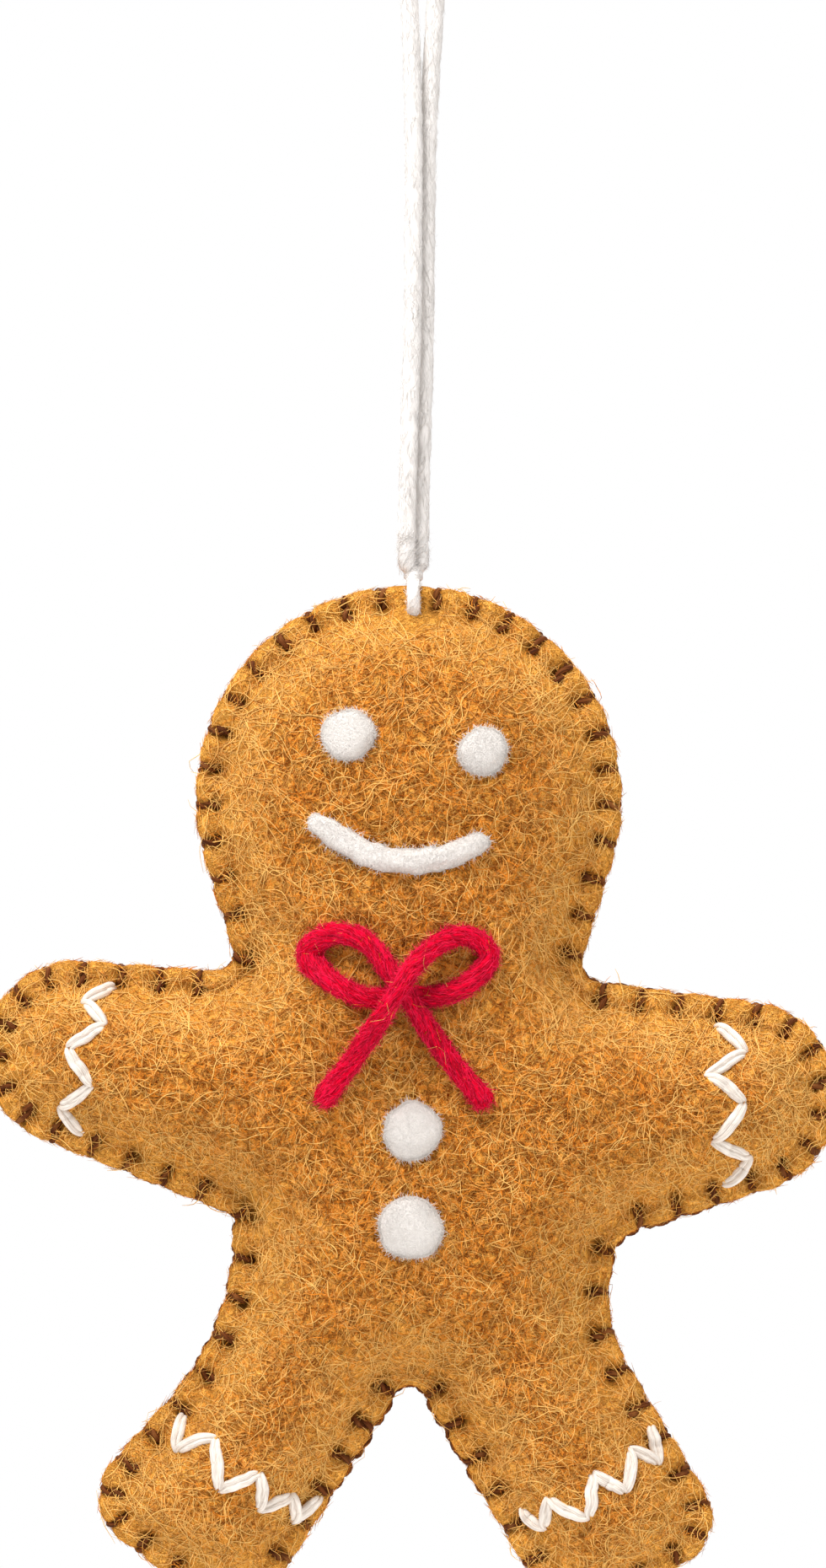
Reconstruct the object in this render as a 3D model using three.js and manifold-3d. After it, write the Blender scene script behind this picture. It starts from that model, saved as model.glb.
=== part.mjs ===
// A stuffed felt gingerbread ornament on a cotton hanging loop.
// Two crowned felt panels are sewn together round their edge over six wads of filling, by one
// thread in blanket stitch.
// Needle-felted eyes, mouth and buttons, a yarn bow and zigzag threads sit on the front.
// Millimetres, +Z up, +X to the right as seen from the front, and the front faces -Y.
// The origin is the top of the loop's inside, where it hangs on its hook.

import * as THREE from 'three';
import { mergeVertices } from 'three/addons/utils/BufferGeometryUtils.js';
import Module from 'manifold-3d';

const wasm = await Module();
wasm.setup();

// Fits

const clearance = 0.3; // between pieces that touch
const overrun = 2; // how far a cutting body runs past what it cuts

// Hanging cord and its fixing

const cordDiameter = 1.9;
const knotRadius = 1.4;
const loopDrop = 91.7; // from the hook down to the middle of the knot
const loopLean = -1.3; // the knot's place sideways from the hook
const anchorDiameter = 1.4; // the cord's tail, drawn thin where it is sewn through the head
const anchorBite = 3.2; // from the head's edge down to the hole of the tail
const anchorRise = 35; // degrees below level at which the tail meets the knot

// Felt and seam

const feltThickness = 1.8;
const seamWidth = 3.2; // flat rim outside the filling
const seamGap = 0.3; // between the two panels
const edgeThreadDiameter = 0.8;
const stitchPitch = 4.4;
const stitchBite = 2.4; // from the edge in to a stitch's hole
const stitchStart = 3.3; // from the head's top to the first stitch, and from the last
const stitchSpread = 1.24; // between the strands that go round the edge at one stitch
const stitchCornerShare = 0.7; // how far off the felt's corner a strand turns
const scallopDepth = 0.35; // how far each stitch draws the edge in
const crownHeight = 8.2; // how far the filling lifts each panel
const crownReach = 12.5; // distance from the edge at which the crown is full
const crownLead = 0.8; // the outer face starts to rise this much nearer to the edge
const fillingInset = 3.9; // from the felt's edge to the filling
const fillingEdge = 0.1; // half the filling's thickness at its rim

// Figure outline, seen from the front. Its own origin is the top of the head.
// An angle is in degrees, counted from +X towards +Z.

const head = { x: -0.5, radius: 24, neckAngle: -17, neckRound: 2 };
const leftArm = {
  x: -20, z: -56.8, angle: 167.1, reach: 28.8,
  rootWidth: 26.7, endWidth: 18, firstRound: 10.6, lastRound: 10.6, pitRound: 1.5,
};
const rightArm = {
  x: 20, z: -59.1, angle: 5, reach: 27.9,
  rootWidth: 29.5, endWidth: 17.5, firstRound: 10.8, lastRound: 10.8, pitRound: 3.2,
};
const leftLeg = {
  x: -11.9, z: -88.8, angle: 232.8, reach: 27.6,
  rootWidth: 19.3, endWidth: 24.4, firstRound: 6, lastRound: 6, waistRound: 27.9,
};
const rightLeg = {
  x: 12.3, z: -88.9, angle: 300.9, reach: 27.6,
  rootWidth: 21.5, endWidth: 22, firstRound: 6, lastRound: 5.8, waistRound: 15.6,
};
const torso = {
  chestZ: -73, waistZ: -83, leftChest: 20.3, leftWaist: 20.3, rightChest: 23.2, rightWaist: 21,
};
const crotchRound = 1.6;

// Trim

const faceTilt = -7; // degrees, the face leans to its right-hand side
const eyeSpacing = 15.2;
const eyeRise = 6.25; // above the head's centre
const leftEye = { radius: 2.95, height: 1.5 };
const rightEye = { radius: 2.7, height: 1.5 };
const mouth = {
  x: -0.6, width: 18.7, sag: 3.2, drop: 3.8, radius: 1.6, endShare: 0.5, taperRings: 1.5,
};
const upperButton = { x: -0.1, z: -61.1, radius: 3.3, height: 1.8 };
const lowerButton = { x: -0.3, z: -71.9, radius: 3.65, height: 1.8 };
const bow = {
  x: -1.1, z: -46, yarnDiameter: 2, leftLoop: 10.7, rightLoop: 9.5, loopHeight: 6.9,
  leftTail: 9.2, rightTail: 9.3, tailDrop: 12, strandGap: 0.55,
};

// The bow's loops run from their upper side round to their lower side. Across and up are
// shares of the loop's width and height, and lift counts strands above the felt.
const loopShares = [
  { across: 0.13, up: 0.4 }, { across: 0.44, up: 0.9, lift: 0.3 }, { across: 0.78, up: 0.98 },
  { across: 1, up: 0.62 }, { across: 0.8, up: 0.2 }, { across: 0.42, up: -0.02 },
];
const bowLift = {
  leftTailCrossing: 2, loopsCrossing: 0, rightTailCrossing: 1,
  rightLoopStart: 1.6, leftLoopEnd: 0.8, leftTailMiddle: 0.3, rightTailMiddle: 0.15,
};

const zigzagDiameter = 1.1;
const zigzagDip = 1; // how deep a thread's end goes into the felt
const zigzagInset = 3.6; // from the edge to a thread's ends

// Each band's middle lies fromEnd short of its limb's end, and shift off the limb's middle line
const leftArmZigzag = { fromEnd: 12.2, shift: 0, length: 17.2, width: 3.2, strokes: 6, firstSide: -1 };
const rightArmZigzag = { fromEnd: 12.5, shift: -0.4, length: 18, width: 3.9, strokes: 6, firstSide: 1 };
const leftLegZigzag = { fromEnd: 16, shift: 0.5, length: 18, width: 3.8, strokes: 8, firstSide: -1 };
const rightLegZigzag = { fromEnd: 14.6, shift: 0.6, length: 17.2, width: 3.8, strokes: 8, firstSide: 1 };

// Facets

const meshPitch = 5.2; // between points inside a panel
const rowShift = 0.25; // how far every row of them is moved sideways, in pitches, one way or the other
const fieldStep = 0.6; // between the outline's points when the crown is worked out
const searchStep = 0.05;
const cordSides = 8;
const cordSteps = 80;
const yarnSides = 6;
const yarnSteps = 64;
const threadSides = 5;
const strokeSteps = 3;
const anchorHoleSides = 6;
const threadHoleSides = 4;
const stitchSides = 4;
const roundSides = 16; // of a felted dot and of the knot
const domeRings = 4;
const knotRings = 6;
const mouthRings = 12;
const mouthSides = 8;

// Materials

function finish(color, roughness) {
  return new THREE.MeshStandardMaterial({ color, roughness, metalness: 0 });
}
const felt = finish(0xc8862f, 0.95);
const filling = finish(0xe9e4da, 1);
const whiteWool = finish(0xf4f3f0, 0.95);
const redYarn = finish(0xc8152f, 0.9);
const whiteThread = finish(0xefe8dc, 0.6);
const brownThread = finish(0x3a2114, 0.8);
const cotton = finish(0xf1ebe4, 0.85);

// Plane geometry

function polar(degrees, length) {
  const angle = THREE.MathUtils.degToRad(degrees);
  return new THREE.Vector2(Math.cos(angle), Math.sin(angle)).multiplyScalar(length);
}

// Where the line through a and b meets the line through c and d
function meet([a, b], [c, d]) {
  const along = b.clone().sub(a);
  const across = d.clone().sub(c);
  const share = c.clone().sub(a).cross(across) / along.cross(across);
  return a.clone().addScaledVector(along, share);
}

// A limb's place and its two long sides, each from root to end
function limbFrame(limb) {
  const root = new THREE.Vector2(limb.x, limb.z);
  const along = polar(limb.angle, 1);
  const across = new THREE.Vector2(-along.y, along.x);
  const end = root.clone().addScaledVector(along, limb.reach);
  const side = (sign) => [
    root.clone().addScaledVector(across, sign * limb.rootWidth / 2),
    end.clone().addScaledVector(across, sign * limb.endWidth / 2),
  ];
  return { ...limb, root, along, across, first: side(-1), last: side(1) };
}

const limbs = {
  leftArm: limbFrame(leftArm),
  rightArm: limbFrame(rightArm),
  leftLeg: limbFrame(leftLeg),
  rightLeg: limbFrame(rightLeg),
};
const headCentre = new THREE.Vector2(head.x, -head.radius);
const rightSide = [
  new THREE.Vector2(torso.rightWaist, torso.waistZ),
  new THREE.Vector2(torso.rightChest, torso.chestZ),
];
const leftSide = [
  new THREE.Vector2(-torso.leftChest, torso.chestZ),
  new THREE.Vector2(-torso.leftWaist, torso.waistZ),
];

// The line that touches the head at an angle
function headTangent(degrees) {
  const touch = headCentre.clone().add(polar(degrees, head.radius));
  return [touch, touch.clone().add(polar(degrees + 90, head.radius))];
}

// Corners of the outline, counterclockwise from the top of the head, each with its rounding.
// The head is a polygon round its circle, rounded back to the circle.
function outlineCorners() {
  const { leftArm: la, rightArm: ra, leftLeg: ll, rightLeg: rl } = limbs;
  const headCorners = 6;
  const step = (180 - 2 * head.neckAngle) / headCorners;
  const headRadius = head.radius / Math.cos(THREE.MathUtils.degToRad(step / 2));
  const crown = Array.from({ length: headCorners }, (_, i) => ({
    at: headCentre.clone().add(polar(head.neckAngle + step * (i + 0.5), headRadius)),
    round: head.radius,
  }));
  return [
    ...crown.slice(headCorners / 2),
    { at: meet(headTangent(180 - head.neckAngle), la.first), round: head.neckRound },
    { at: la.first[1], round: la.firstRound },
    { at: la.last[1], round: la.lastRound },
    { at: meet(la.last, leftSide), round: la.pitRound },
    { at: meet(leftSide, ll.first), round: ll.waistRound },
    { at: ll.first[1], round: ll.firstRound },
    { at: ll.last[1], round: ll.lastRound },
    { at: meet(ll.last, rl.first), round: crotchRound },
    { at: rl.first[1], round: rl.firstRound },
    { at: rl.last[1], round: rl.lastRound },
    { at: meet(rl.last, rightSide), round: rl.waistRound },
    { at: meet(rightSide, ra.first), round: ra.pitRound },
    { at: ra.first[1], round: ra.firstRound },
    { at: ra.last[1], round: ra.lastRound },
    { at: meet(ra.last, headTangent(head.neckAngle)), round: head.neckRound },
    ...crown.slice(0, headCorners / 2),
  ];
}

// A closed path through corners with an arc at each. Where two arcs need more than the side
// between them, both give way alike.
function roundedPath(corners) {
  const count = corners.length;
  const sides = corners.map((corner, i) => {
    const way = corners[(i + 1) % count].at.clone().sub(corner.at);
    return { length: way.length(), way: way.normalize() };
  });
  const turns = corners.map((corner, i) => {
    const before = sides[(i + count - 1) % count].way;
    return Math.atan2(before.cross(sides[i].way), before.dot(sides[i].way));
  });
  const wanted = corners.map((corner, i) => corner.round * Math.tan(Math.abs(turns[i]) / 2));
  const path = new THREE.Path();
  corners.forEach((corner, i) => {
    const last = (i + count - 1) % count;
    const next = (i + 1) % count;
    const fit = Math.min(
      1,
      sides[last].length / (wanted[last] + wanted[i]),
      sides[i].length / (wanted[i] + wanted[next]),
    );
    const reach = wanted[i] * fit;
    const radius = reach / Math.tan(Math.abs(turns[i]) / 2);
    const start = corner.at.clone().addScaledVector(sides[last].way, -reach);
    const inward = new THREE.Vector2(-sides[last].way.y, sides[last].way.x);
    const centre = start.clone().addScaledVector(inward, radius * Math.sign(turns[i]));
    const from = start.clone().sub(centre).angle();
    if (i === 0) path.moveTo(start.x, start.y);
    else path.lineTo(start.x, start.y);
    path.absarc(centre.x, centre.y, radius, from, from + turns[i], turns[i] < 0);
  });
  path.closePath();
  return path;
}

const edgePath = roundedPath(outlineCorners());
const edgeLength = edgePath.getLength();

// A place on the edge, by its way along the edge from the head's top
function edgeFrame(length) {
  const share = length / edgeLength;
  const way = edgePath.getTangent(share);
  const at = edgePath.getPoint(share);
  const inward = new THREE.Vector2(-way.y, way.x);
  const moved = (along, into) => at.clone().addScaledVector(way, along).addScaledVector(inward, into);
  return { at, moved };
}

function spacedFrames(count) {
  return Array.from({ length: count }, (_, i) => edgeFrame(edgeLength * i / count));
}

// The felt's edge: drawn in at each stitch and full between two. The cord has its place
// between the last stitch and the first.
const stitchCount = 1 + Math.round((edgeLength - 2 * stitchStart) / stitchPitch);
const stitchStep = (edgeLength - 2 * stitchStart) / (stitchCount - 1);
const stitches = Array.from({ length: stitchCount }, (_, i) => edgeFrame(stitchStart + i * stitchStep));
const betweenStitches = stitches.slice(1).map((_, i) => edgeFrame(stitchStart + (i + 0.5) * stitchStep));
const feltEdge = [edgeFrame(0).at];
stitches.forEach((stitch, i) => {
  feltEdge.push(stitch.moved(0, scallopDepth));
  if (i < betweenStitches.length) feltEdge.push(betweenStitches[i].at);
});
const fillingLoop = spacedFrames(2 * stitchCount).map(({ moved }) => moved(0, fillingInset));
const fieldPoints = spacedFrames(Math.round(edgeLength / fieldStep)).map(({ at }) => at);
const fieldSpacing = edgeLength / fieldPoints.length;

// A smooth distance from the edge: exact beside a straight edge, and rounded in between
function depthAt(point) {
  let sum = 0;
  for (const at of fieldPoints) sum += fieldSpacing / (2 * at.distanceTo(point) ** 3);
  return 1 / Math.sqrt(sum);
}

function crown(depth) {
  const share = THREE.MathUtils.clamp((depth - seamWidth) / (crownReach - seamWidth), 0, 1);
  return crownHeight * Math.sin(share * Math.PI / 2);
}

const innerFace = (point) => seamGap / 2 + crown(depthAt(point));
const outerFace = (point) => seamGap / 2 + feltThickness + crown(depthAt(point) + crownLead);
const fillingFace = (point) => Math.max(fillingEdge, innerFace(point) - clearance);

// Flat meshes

function inside(point, loop) {
  let odd = false;
  loop.forEach((a, i) => {
    const b = loop[(i + 1) % loop.length];
    const crosses = a.y > point.y !== b.y > point.y;
    if (crosses && point.x < a.x + (b.x - a.x) * (point.y - a.y) / (b.y - a.y)) odd = !odd;
  });
  return odd;
}

function distanceToLoop(point, loop) {
  let least = Infinity;
  loop.forEach((a, i) => {
    const side = loop[(i + 1) % loop.length].clone().sub(a);
    const share = THREE.MathUtils.clamp(point.clone().sub(a).dot(side) / side.lengthSq(), 0, 1);
    least = Math.min(least, a.clone().addScaledVector(side, share).distanceTo(point));
  });
  return least;
}

// The circle through three points, as its centre and its squared radius
function circleThrough(a, b, c) {
  const ab = b.clone().sub(a);
  const ac = c.clone().sub(a);
  const twice = 2 * ab.cross(ac);
  const centre = new THREE.Vector2(
    (ac.y * ab.lengthSq() - ab.y * ac.lengthSq()) / twice,
    (ab.x * ac.lengthSq() - ac.x * ab.lengthSq()) / twice,
  );
  return { squared: centre.lengthSq(), centre: centre.add(a) };
}

// Delaunay triangles of a set of points, added one by one inside a triangle round them all.
// Points of one circle count as outside it, so that rounding can't tear the mesh.
const roundingShare = 1e-7;
const aroundShare = 40; // how far off the triangle round the points has its corners

function delaunay(points) {
  const size = Math.max(...points.map((point) => point.length()));
  const around = [90, 210, 330].map((degrees) => polar(degrees, aroundShare * size));
  const all = [...points, ...around];
  const triangle = (a, b, c) => ({ corners: [a, b, c], circle: circleThrough(all[a], all[b], all[c]) });
  const first = points.length;
  let found = [triangle(first, first + 1, first + 2)];
  points.forEach((point, index) => {
    const reached = ({ circle }) => (
      circle.centre.distanceToSquared(point) < circle.squared * (1 - roundingShare)
    );
    const edges = new Map();
    for (const { corners: [a, b, c] } of found.filter(reached)) {
      for (const [from, to] of [[a, b], [b, c], [c, a]]) {
        if (!edges.delete(`${to} ${from}`)) edges.set(`${from} ${to}`, [from, to]);
      }
    }
    found = found.filter((one) => !reached(one));
    for (const [from, to] of edges.values()) found.push(triangle(from, to, index));
  });
  return found.map(({ corners }) => corners).filter((corners) => Math.max(...corners) < first);
}

// A flat mesh of what a loop holds, with a grid of points inside. Its triangles leave the
// holes open, and whole has those over the holes as well.
function fillLoop(loop, holes, pitch) {
  const grid = [];
  const row = pitch * Math.sqrt(3) / 2;
  const box = new THREE.Box2().setFromPoints(loop);
  const rings = [loop, ...holes];
  const rows = Math.ceil((box.max.y - box.min.y) / row);
  const columns = Math.ceil((box.max.x - box.min.x) / pitch);
  for (let j = 0; j <= rows; j += 1) {
    for (let i = 0; i <= columns; i += 1) {
      const across = i + 0.5 + (j % 2 ? -rowShift : rowShift);
      const point = new THREE.Vector2(box.min.x + across * pitch, box.min.y + (j + 0.5) * row);
      if (inside(point, loop) && rings.every((ring) => distanceToLoop(point, ring) > pitch / 2)) {
        grid.push(point);
      }
    }
  }
  const points = [...rings.flat(), ...grid];
  const middle = ([a, b, c]) => points[a].clone().add(points[b]).add(points[c]).divideScalar(3);
  const whole = delaunay(points).filter((corners) => inside(middle(corners), loop));
  const triangles = whole.filter((corners) => !holes.some((hole) => inside(middle(corners), hole)));
  return { points, triangles, whole: { points, triangles: whole } };
}

// A small round hole's ring, with its flats clear of the radius
function holeRing(at, radius, sides) {
  const reach = radius / Math.cos(Math.PI / sides);
  return Array.from({ length: sides }, (_, i) => at.clone().add(polar(360 * i / sides, reach)));
}

// Solids

function geometryOf(positions, triangles) {
  const geometry = new THREE.BufferGeometry();
  geometry.setAttribute('position', new THREE.Float32BufferAttribute(positions.flat(), 3));
  geometry.setIndex(triangles.flat());
  geometry.computeVertexNormals();
  return geometry;
}

// The body between two faces over a flat mesh, with walls round its edge and its holes
function bodyBetween({ points, triangles }, front, back) {
  const count = points.length;
  const faces = triangles.flatMap(([a, b, c]) => [[a, b, c], [count + a, count + c, count + b]]);
  const edges = new Set(triangles.flatMap(([a, b, c]) => [`${a} ${b}`, `${b} ${c}`, `${c} ${a}`]));
  for (const edge of edges) {
    const [a, b] = edge.split(' ').map(Number);
    if (!edges.has(`${b} ${a}`)) faces.push([b, a, count + a], [b, count + a, count + b]);
  }
  const positions = [
    ...points.map((point) => [point.x, front(point), point.y]),
    ...points.map((point) => [point.x, back(point), point.y]),
  ];
  return geometryOf(positions, faces);
}

// A tube of flat-ended rings through points. The radius may change from ring to ring.
function tubeThrough(points, radius, sides) {
  const radiusAt = typeof radius === 'number' ? () => radius : radius;
  const last = points.length - 1;
  const ways = points.map((point, i) => {
    const before = point.clone().sub(points[Math.max(i - 1, 0)]).normalize();
    const after = points[Math.min(i + 1, last)].clone().sub(point).normalize();
    return before.add(after).normalize();
  });
  const positions = [];
  const alongY = Math.abs(ways[0].y) > Math.abs(ways[0].x) + Math.abs(ways[0].z);
  let normal = alongY ? new THREE.Vector3(1, 0, 0) : new THREE.Vector3(0, 1, 0);
  points.forEach((point, i) => {
    normal = normal.clone().addScaledVector(ways[i], -normal.dot(ways[i])).normalize();
    const side = new THREE.Vector3().crossVectors(ways[i], normal);
    for (let k = 0; k < sides; k += 1) {
      const angle = 2 * Math.PI * k / sides;
      const out = normal.clone().multiplyScalar(Math.cos(angle)).addScaledVector(side, Math.sin(angle));
      positions.push(point.clone().addScaledVector(out, radiusAt(i)).toArray());
    }
  });
  const faces = [];
  for (let i = 0; i < last; i += 1) {
    for (let k = 0; k < sides; k += 1) {
      const a = i * sides + k;
      const b = i * sides + (k + 1) % sides;
      faces.push([a, b, b + sides], [a, b + sides, a + sides]);
    }
  }
  for (let k = 1; k < sides - 1; k += 1) {
    faces.push([0, k + 1, k], [last * sides, last * sides + k, last * sides + k + 1]);
  }
  return geometryOf(positions, faces);
}

// Joining and cutting

function solidOf(geometry) {
  const bare = geometry.clone();
  bare.deleteAttribute('normal');
  bare.deleteAttribute('uv');
  const merged = mergeVertices(bare);
  return new wasm.Manifold(new wasm.Mesh({
    numProp: 3,
    vertProperties: new Float32Array(merged.attributes.position.array),
    triVerts: new Uint32Array(merged.index.array),
  }));
}

function geometryFrom(solid) {
  const mesh = solid.getMesh();
  const geometry = new THREE.BufferGeometry();
  geometry.setAttribute('position', new THREE.BufferAttribute(mesh.vertProperties, 3));
  geometry.setIndex(new THREE.BufferAttribute(mesh.triVerts, 1));
  geometry.computeVertexNormals();
  return geometry;
}

// The model and its groups

const ornament = new THREE.Group();
const figure = new THREE.Group();
const knotToHead = knotRadius + 2 * clearance + edgeThreadDiameter;
figure.position.set(loopLean, 0, -loopDrop - knotToHead);
ornament.add(figure);

function place(group, name, geometry, material) {
  const mesh = new THREE.Mesh(geometry, material);
  mesh.name = name;
  group.add(mesh);
  return mesh;
}

// Zigzags: evenly spaced corners across a limb, from one side of the band to the other. Each
// end goes in between two stitches of the edge.

function zigzagCorners(limb, { fromEnd, shift, length, width, strokes, firstSide }) {
  const corners = [];
  for (let i = 0; i <= strokes; i += 1) {
    const across = firstSide * length * (0.5 - i / strokes) + shift;
    const out = limb.reach - fromEnd + (i % 2 ? width : -width) / 2;
    corners.push(limb.root.clone().addScaledVector(limb.along, out).addScaledVector(limb.across, across));
  }
  for (const end of [corners[0], corners[strokes]]) {
    const places = betweenStitches.map(({ moved }) => moved(0, zigzagInset));
    end.copy(places.reduce((a, b) => (end.distanceTo(a) < end.distanceTo(b) ? a : b)));
  }
  return corners;
}

const zigzags = [
  ['arm_zigzag_left', zigzagCorners(limbs.leftArm, leftArmZigzag)],
  ['arm_zigzag_right', zigzagCorners(limbs.rightArm, rightArmZigzag)],
  ['leg_zigzag_left', zigzagCorners(limbs.leftLeg, leftLegZigzag)],
  ['leg_zigzag_right', zigzagCorners(limbs.rightLeg, rightLegZigzag)],
];

// Felt panels

const anchorAt = new THREE.Vector2(0, -anchorBite);
const anchorHole = holeRing(anchorAt, anchorDiameter / 2 + clearance, anchorHoleSides);
const threadHoles = zigzags.flatMap(([, corners]) => [corners[0], corners.at(-1)])
  .map((at) => holeRing(at, zigzagDiameter / 2 + clearance, threadHoleSides));
const stitchHoles = stitches.map(({ moved }) => (
  holeRing(moved(0, stitchBite), edgeThreadDiameter / 2 + clearance, stitchSides)
));
const frontMesh = fillLoop(feltEdge, [anchorHole, ...stitchHoles, ...threadHoles], meshPitch);
const backMesh = fillLoop(feltEdge, [anchorHole, ...stitchHoles], meshPitch);
const frontFace = (point) => -outerFace(point);

place(figure, 'front_panel', bodyBetween(frontMesh, frontFace, (point) => -innerFace(point)), felt);
place(figure, 'back_panel', bodyBetween(backMesh, innerFace, outerFace), felt);

// Filling: one crowned body, cut at the neck, shoulders and hips

const cavity = solidOf(bodyBetween(frontMesh.whole, (point) => -fillingFace(point), () => 0))
  .add(solidOf(bodyBetween(backMesh.whole, () => 0, fillingFace)));
const fillingDepth = 2 * (crownHeight + overrun);
const fillingBlock = new THREE.ExtrudeGeometry(new THREE.Shape(fillingLoop), {
  depth: fillingDepth, bevelEnabled: false,
});
fillingBlock.rotateX(Math.PI / 2).translate(0, fillingDepth / 2, 0);
const fillingBody = cavity.intersect(solidOf(fillingBlock));

// A block over what lies beyond a line across the figure, as a solid
function blockBeyond(root, along, width, reach) {
  const block = new THREE.BoxGeometry(reach, fillingDepth, width);
  block.rotateY(-along.angle());
  const middle = root.clone().addScaledVector(along, reach / 2);
  block.translate(middle.x, 0, middle.y);
  return solidOf(block);
}

const neckZ = Math.max(limbs.leftArm.first[0].y, limbs.rightArm.last[0].y);
const neck = new THREE.Vector2(head.x, neckZ);
const cuts = [
  { name: 'stuffing_head', root: neck, along: polar(90, 1), width: 3 * head.radius, reach: 3 * head.radius },
  ...[['stuffing_arm_left', limbs.leftArm], ['stuffing_arm_right', limbs.rightArm],
    ['stuffing_leg_left', limbs.leftLeg], ['stuffing_leg_right', limbs.rightLeg]]
    .map(([name, limb]) => ({
      name, root: limb.root, along: limb.along, width: limb.rootWidth + 2 * overrun, reach: 2 * limb.reach,
    })),
];
let rest = fillingBody;
for (const { name, root, along, width, reach } of cuts) {
  place(figure, name, geometryFrom(rest.intersect(blockBeyond(root, along, width, reach))), filling);
  const start = root.clone().addScaledVector(along, -clearance);
  rest = rest.subtract(blockBeyond(start, along, width + 2 * clearance, reach + clearance));
}
place(figure, 'stuffing_torso', geometryFrom(rest), filling);

// The front's own facets, from which trim that lies on the felt takes its place
const facets = frontMesh.whole.triangles.map((corners) => new THREE.Triangle(
  ...corners.map((i) => {
    const { x, y } = frontMesh.points[i];
    return new THREE.Vector3(x, y, frontFace(frontMesh.points[i]));
  }),
));

function onFacet({ x, y }) {
  const shares = new THREE.Vector3();
  for (const { a, b, c } of facets) {
    const flat = [a, b, c].map((corner) => new THREE.Vector3(corner.x, corner.y));
    THREE.Triangle.getBarycoord(new THREE.Vector3(x, y), ...flat, shares);
    if (Math.min(...shares.toArray()) >= -roundingShare) return shares.dot(new THREE.Vector3(a.z, b.z, c.z));
  }
  throw new Error(`no felt at ${x}, ${y}`);
}

// A place over the front, at a height square to the felt's face
function overFront(at, height) {
  const rise = (x, z) => {
    const step = new THREE.Vector2(x, z).multiplyScalar(fieldStep);
    return (onFacet(at.clone().add(step)) - onFacet(at.clone().sub(step))) / (2 * fieldStep);
  };
  const out = new THREE.Vector3(rise(1, 0), -1, rise(0, 1)).normalize();
  return new THREE.Vector3(at.x, onFacet(at), at.y).addScaledVector(out, height);
}

// Trim that is seated on the front: its underside is cut to the felt's face

const seat = solidOf(bodyBetween(frontMesh.whole, (point) => frontFace(point) - clearance, () => overrun));

function seated(geometry) {
  return geometryFrom(solidOf(geometry).subtract(seat));
}

// A low dome of felted wool, rounded at its rim
function dome(at, { radius, height }) {
  const profile = Array.from({ length: domeRings + 1 }, (_, i) => (
    polar(90 - 90 * i / domeRings, 1).multiply(new THREE.Vector2(radius, height))
  ));
  const base = -overrun;
  profile.push(new THREE.Vector2(radius, base), new THREE.Vector2(0, base));
  const geometry = new THREE.LatheGeometry(profile.reverse(), roundSides);
  geometry.rotateX(Math.PI);
  geometry.translate(at.x, frontFace(at) - clearance, at.y);
  return seated(geometry);
}

// A place on the face, from its tilted middle line and the head's centre
function onFace(across, up) {
  return headCentre.clone().add(polar(faceTilt, across)).add(polar(faceTilt + 90, up));
}

const onChest = ({ x, z }) => new THREE.Vector2(x, z);
place(figure, 'eye_left', dome(onFace(-eyeSpacing / 2, eyeRise), leftEye), whiteWool);
place(figure, 'eye_right', dome(onFace(eyeSpacing / 2, eyeRise), rightEye), whiteWool);
place(figure, 'button_upper', dome(onChest(upperButton), upperButton), whiteWool);
place(figure, 'button_lower', dome(onChest(lowerButton), lowerButton), whiteWool);

// The mouth is a roll of wool along an arc, tapered at its ends
function mouthRoll() {
  const points = [];
  for (let i = 0; i <= mouthRings; i += 1) {
    const share = 2 * i / mouthRings - 1;
    const across = mouth.x + share * mouth.width / 2;
    const at = onFace(across, -mouth.drop - mouth.sag * (1 - share ** 2));
    points.push(new THREE.Vector3(at.x, frontFace(at) - clearance, at.y));
  }
  const taper = (i) => {
    const inward = Math.min(i, mouthRings - i) / mouth.taperRings;
    return mouth.radius * Math.min(1, Math.hypot(mouth.endShare, inward));
  };
  return seated(tubeThrough(points, taper, mouthSides));
}
place(figure, 'mouth', mouthRoll(), whiteWool);

// Bow: one length of yarn, tail, loop, loop, tail, with its three crossings stacked

function bowYarn() {
  const spot = (x, z, lift) => overFront(
    new THREE.Vector2(bow.x + x, bow.z + z),
    clearance + bow.yarnDiameter / 2 + lift * (bow.yarnDiameter + bow.strandGap),
  );
  const loop = (width, upperLift) => loopShares.map(({ across, up, lift = 0 }, i) => (
    spot(width * across, bow.loopHeight * up, i === 0 ? upperLift : lift)
  ));
  const points = [
    spot(-bow.leftTail, -bow.tailDrop, 0),
    spot(-bow.leftTail / 2, -bow.tailDrop / 2, bowLift.leftTailMiddle),
    spot(0, 0, bowLift.leftTailCrossing),
    ...loop(bow.rightLoop, bowLift.rightLoopStart),
    spot(0, 0, bowLift.loopsCrossing),
    ...loop(-bow.leftLoop, bowLift.leftLoopEnd).reverse(),
    spot(0, 0, bowLift.rightTailCrossing),
    spot(bow.rightTail / 2, -bow.tailDrop / 2, bowLift.rightTailMiddle),
    spot(bow.rightTail, -bow.tailDrop, 0),
  ];
  return new THREE.CatmullRomCurve3(points, false, 'centripetal');
}

const bowPoints = bowYarn().getSpacedPoints(yarnSteps);
place(figure, 'bow', tubeThrough(bowPoints, bow.yarnDiameter / 2, yarnSides), redYarn);

// Zigzag threads lie on the felt, and their ends go down into it

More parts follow.
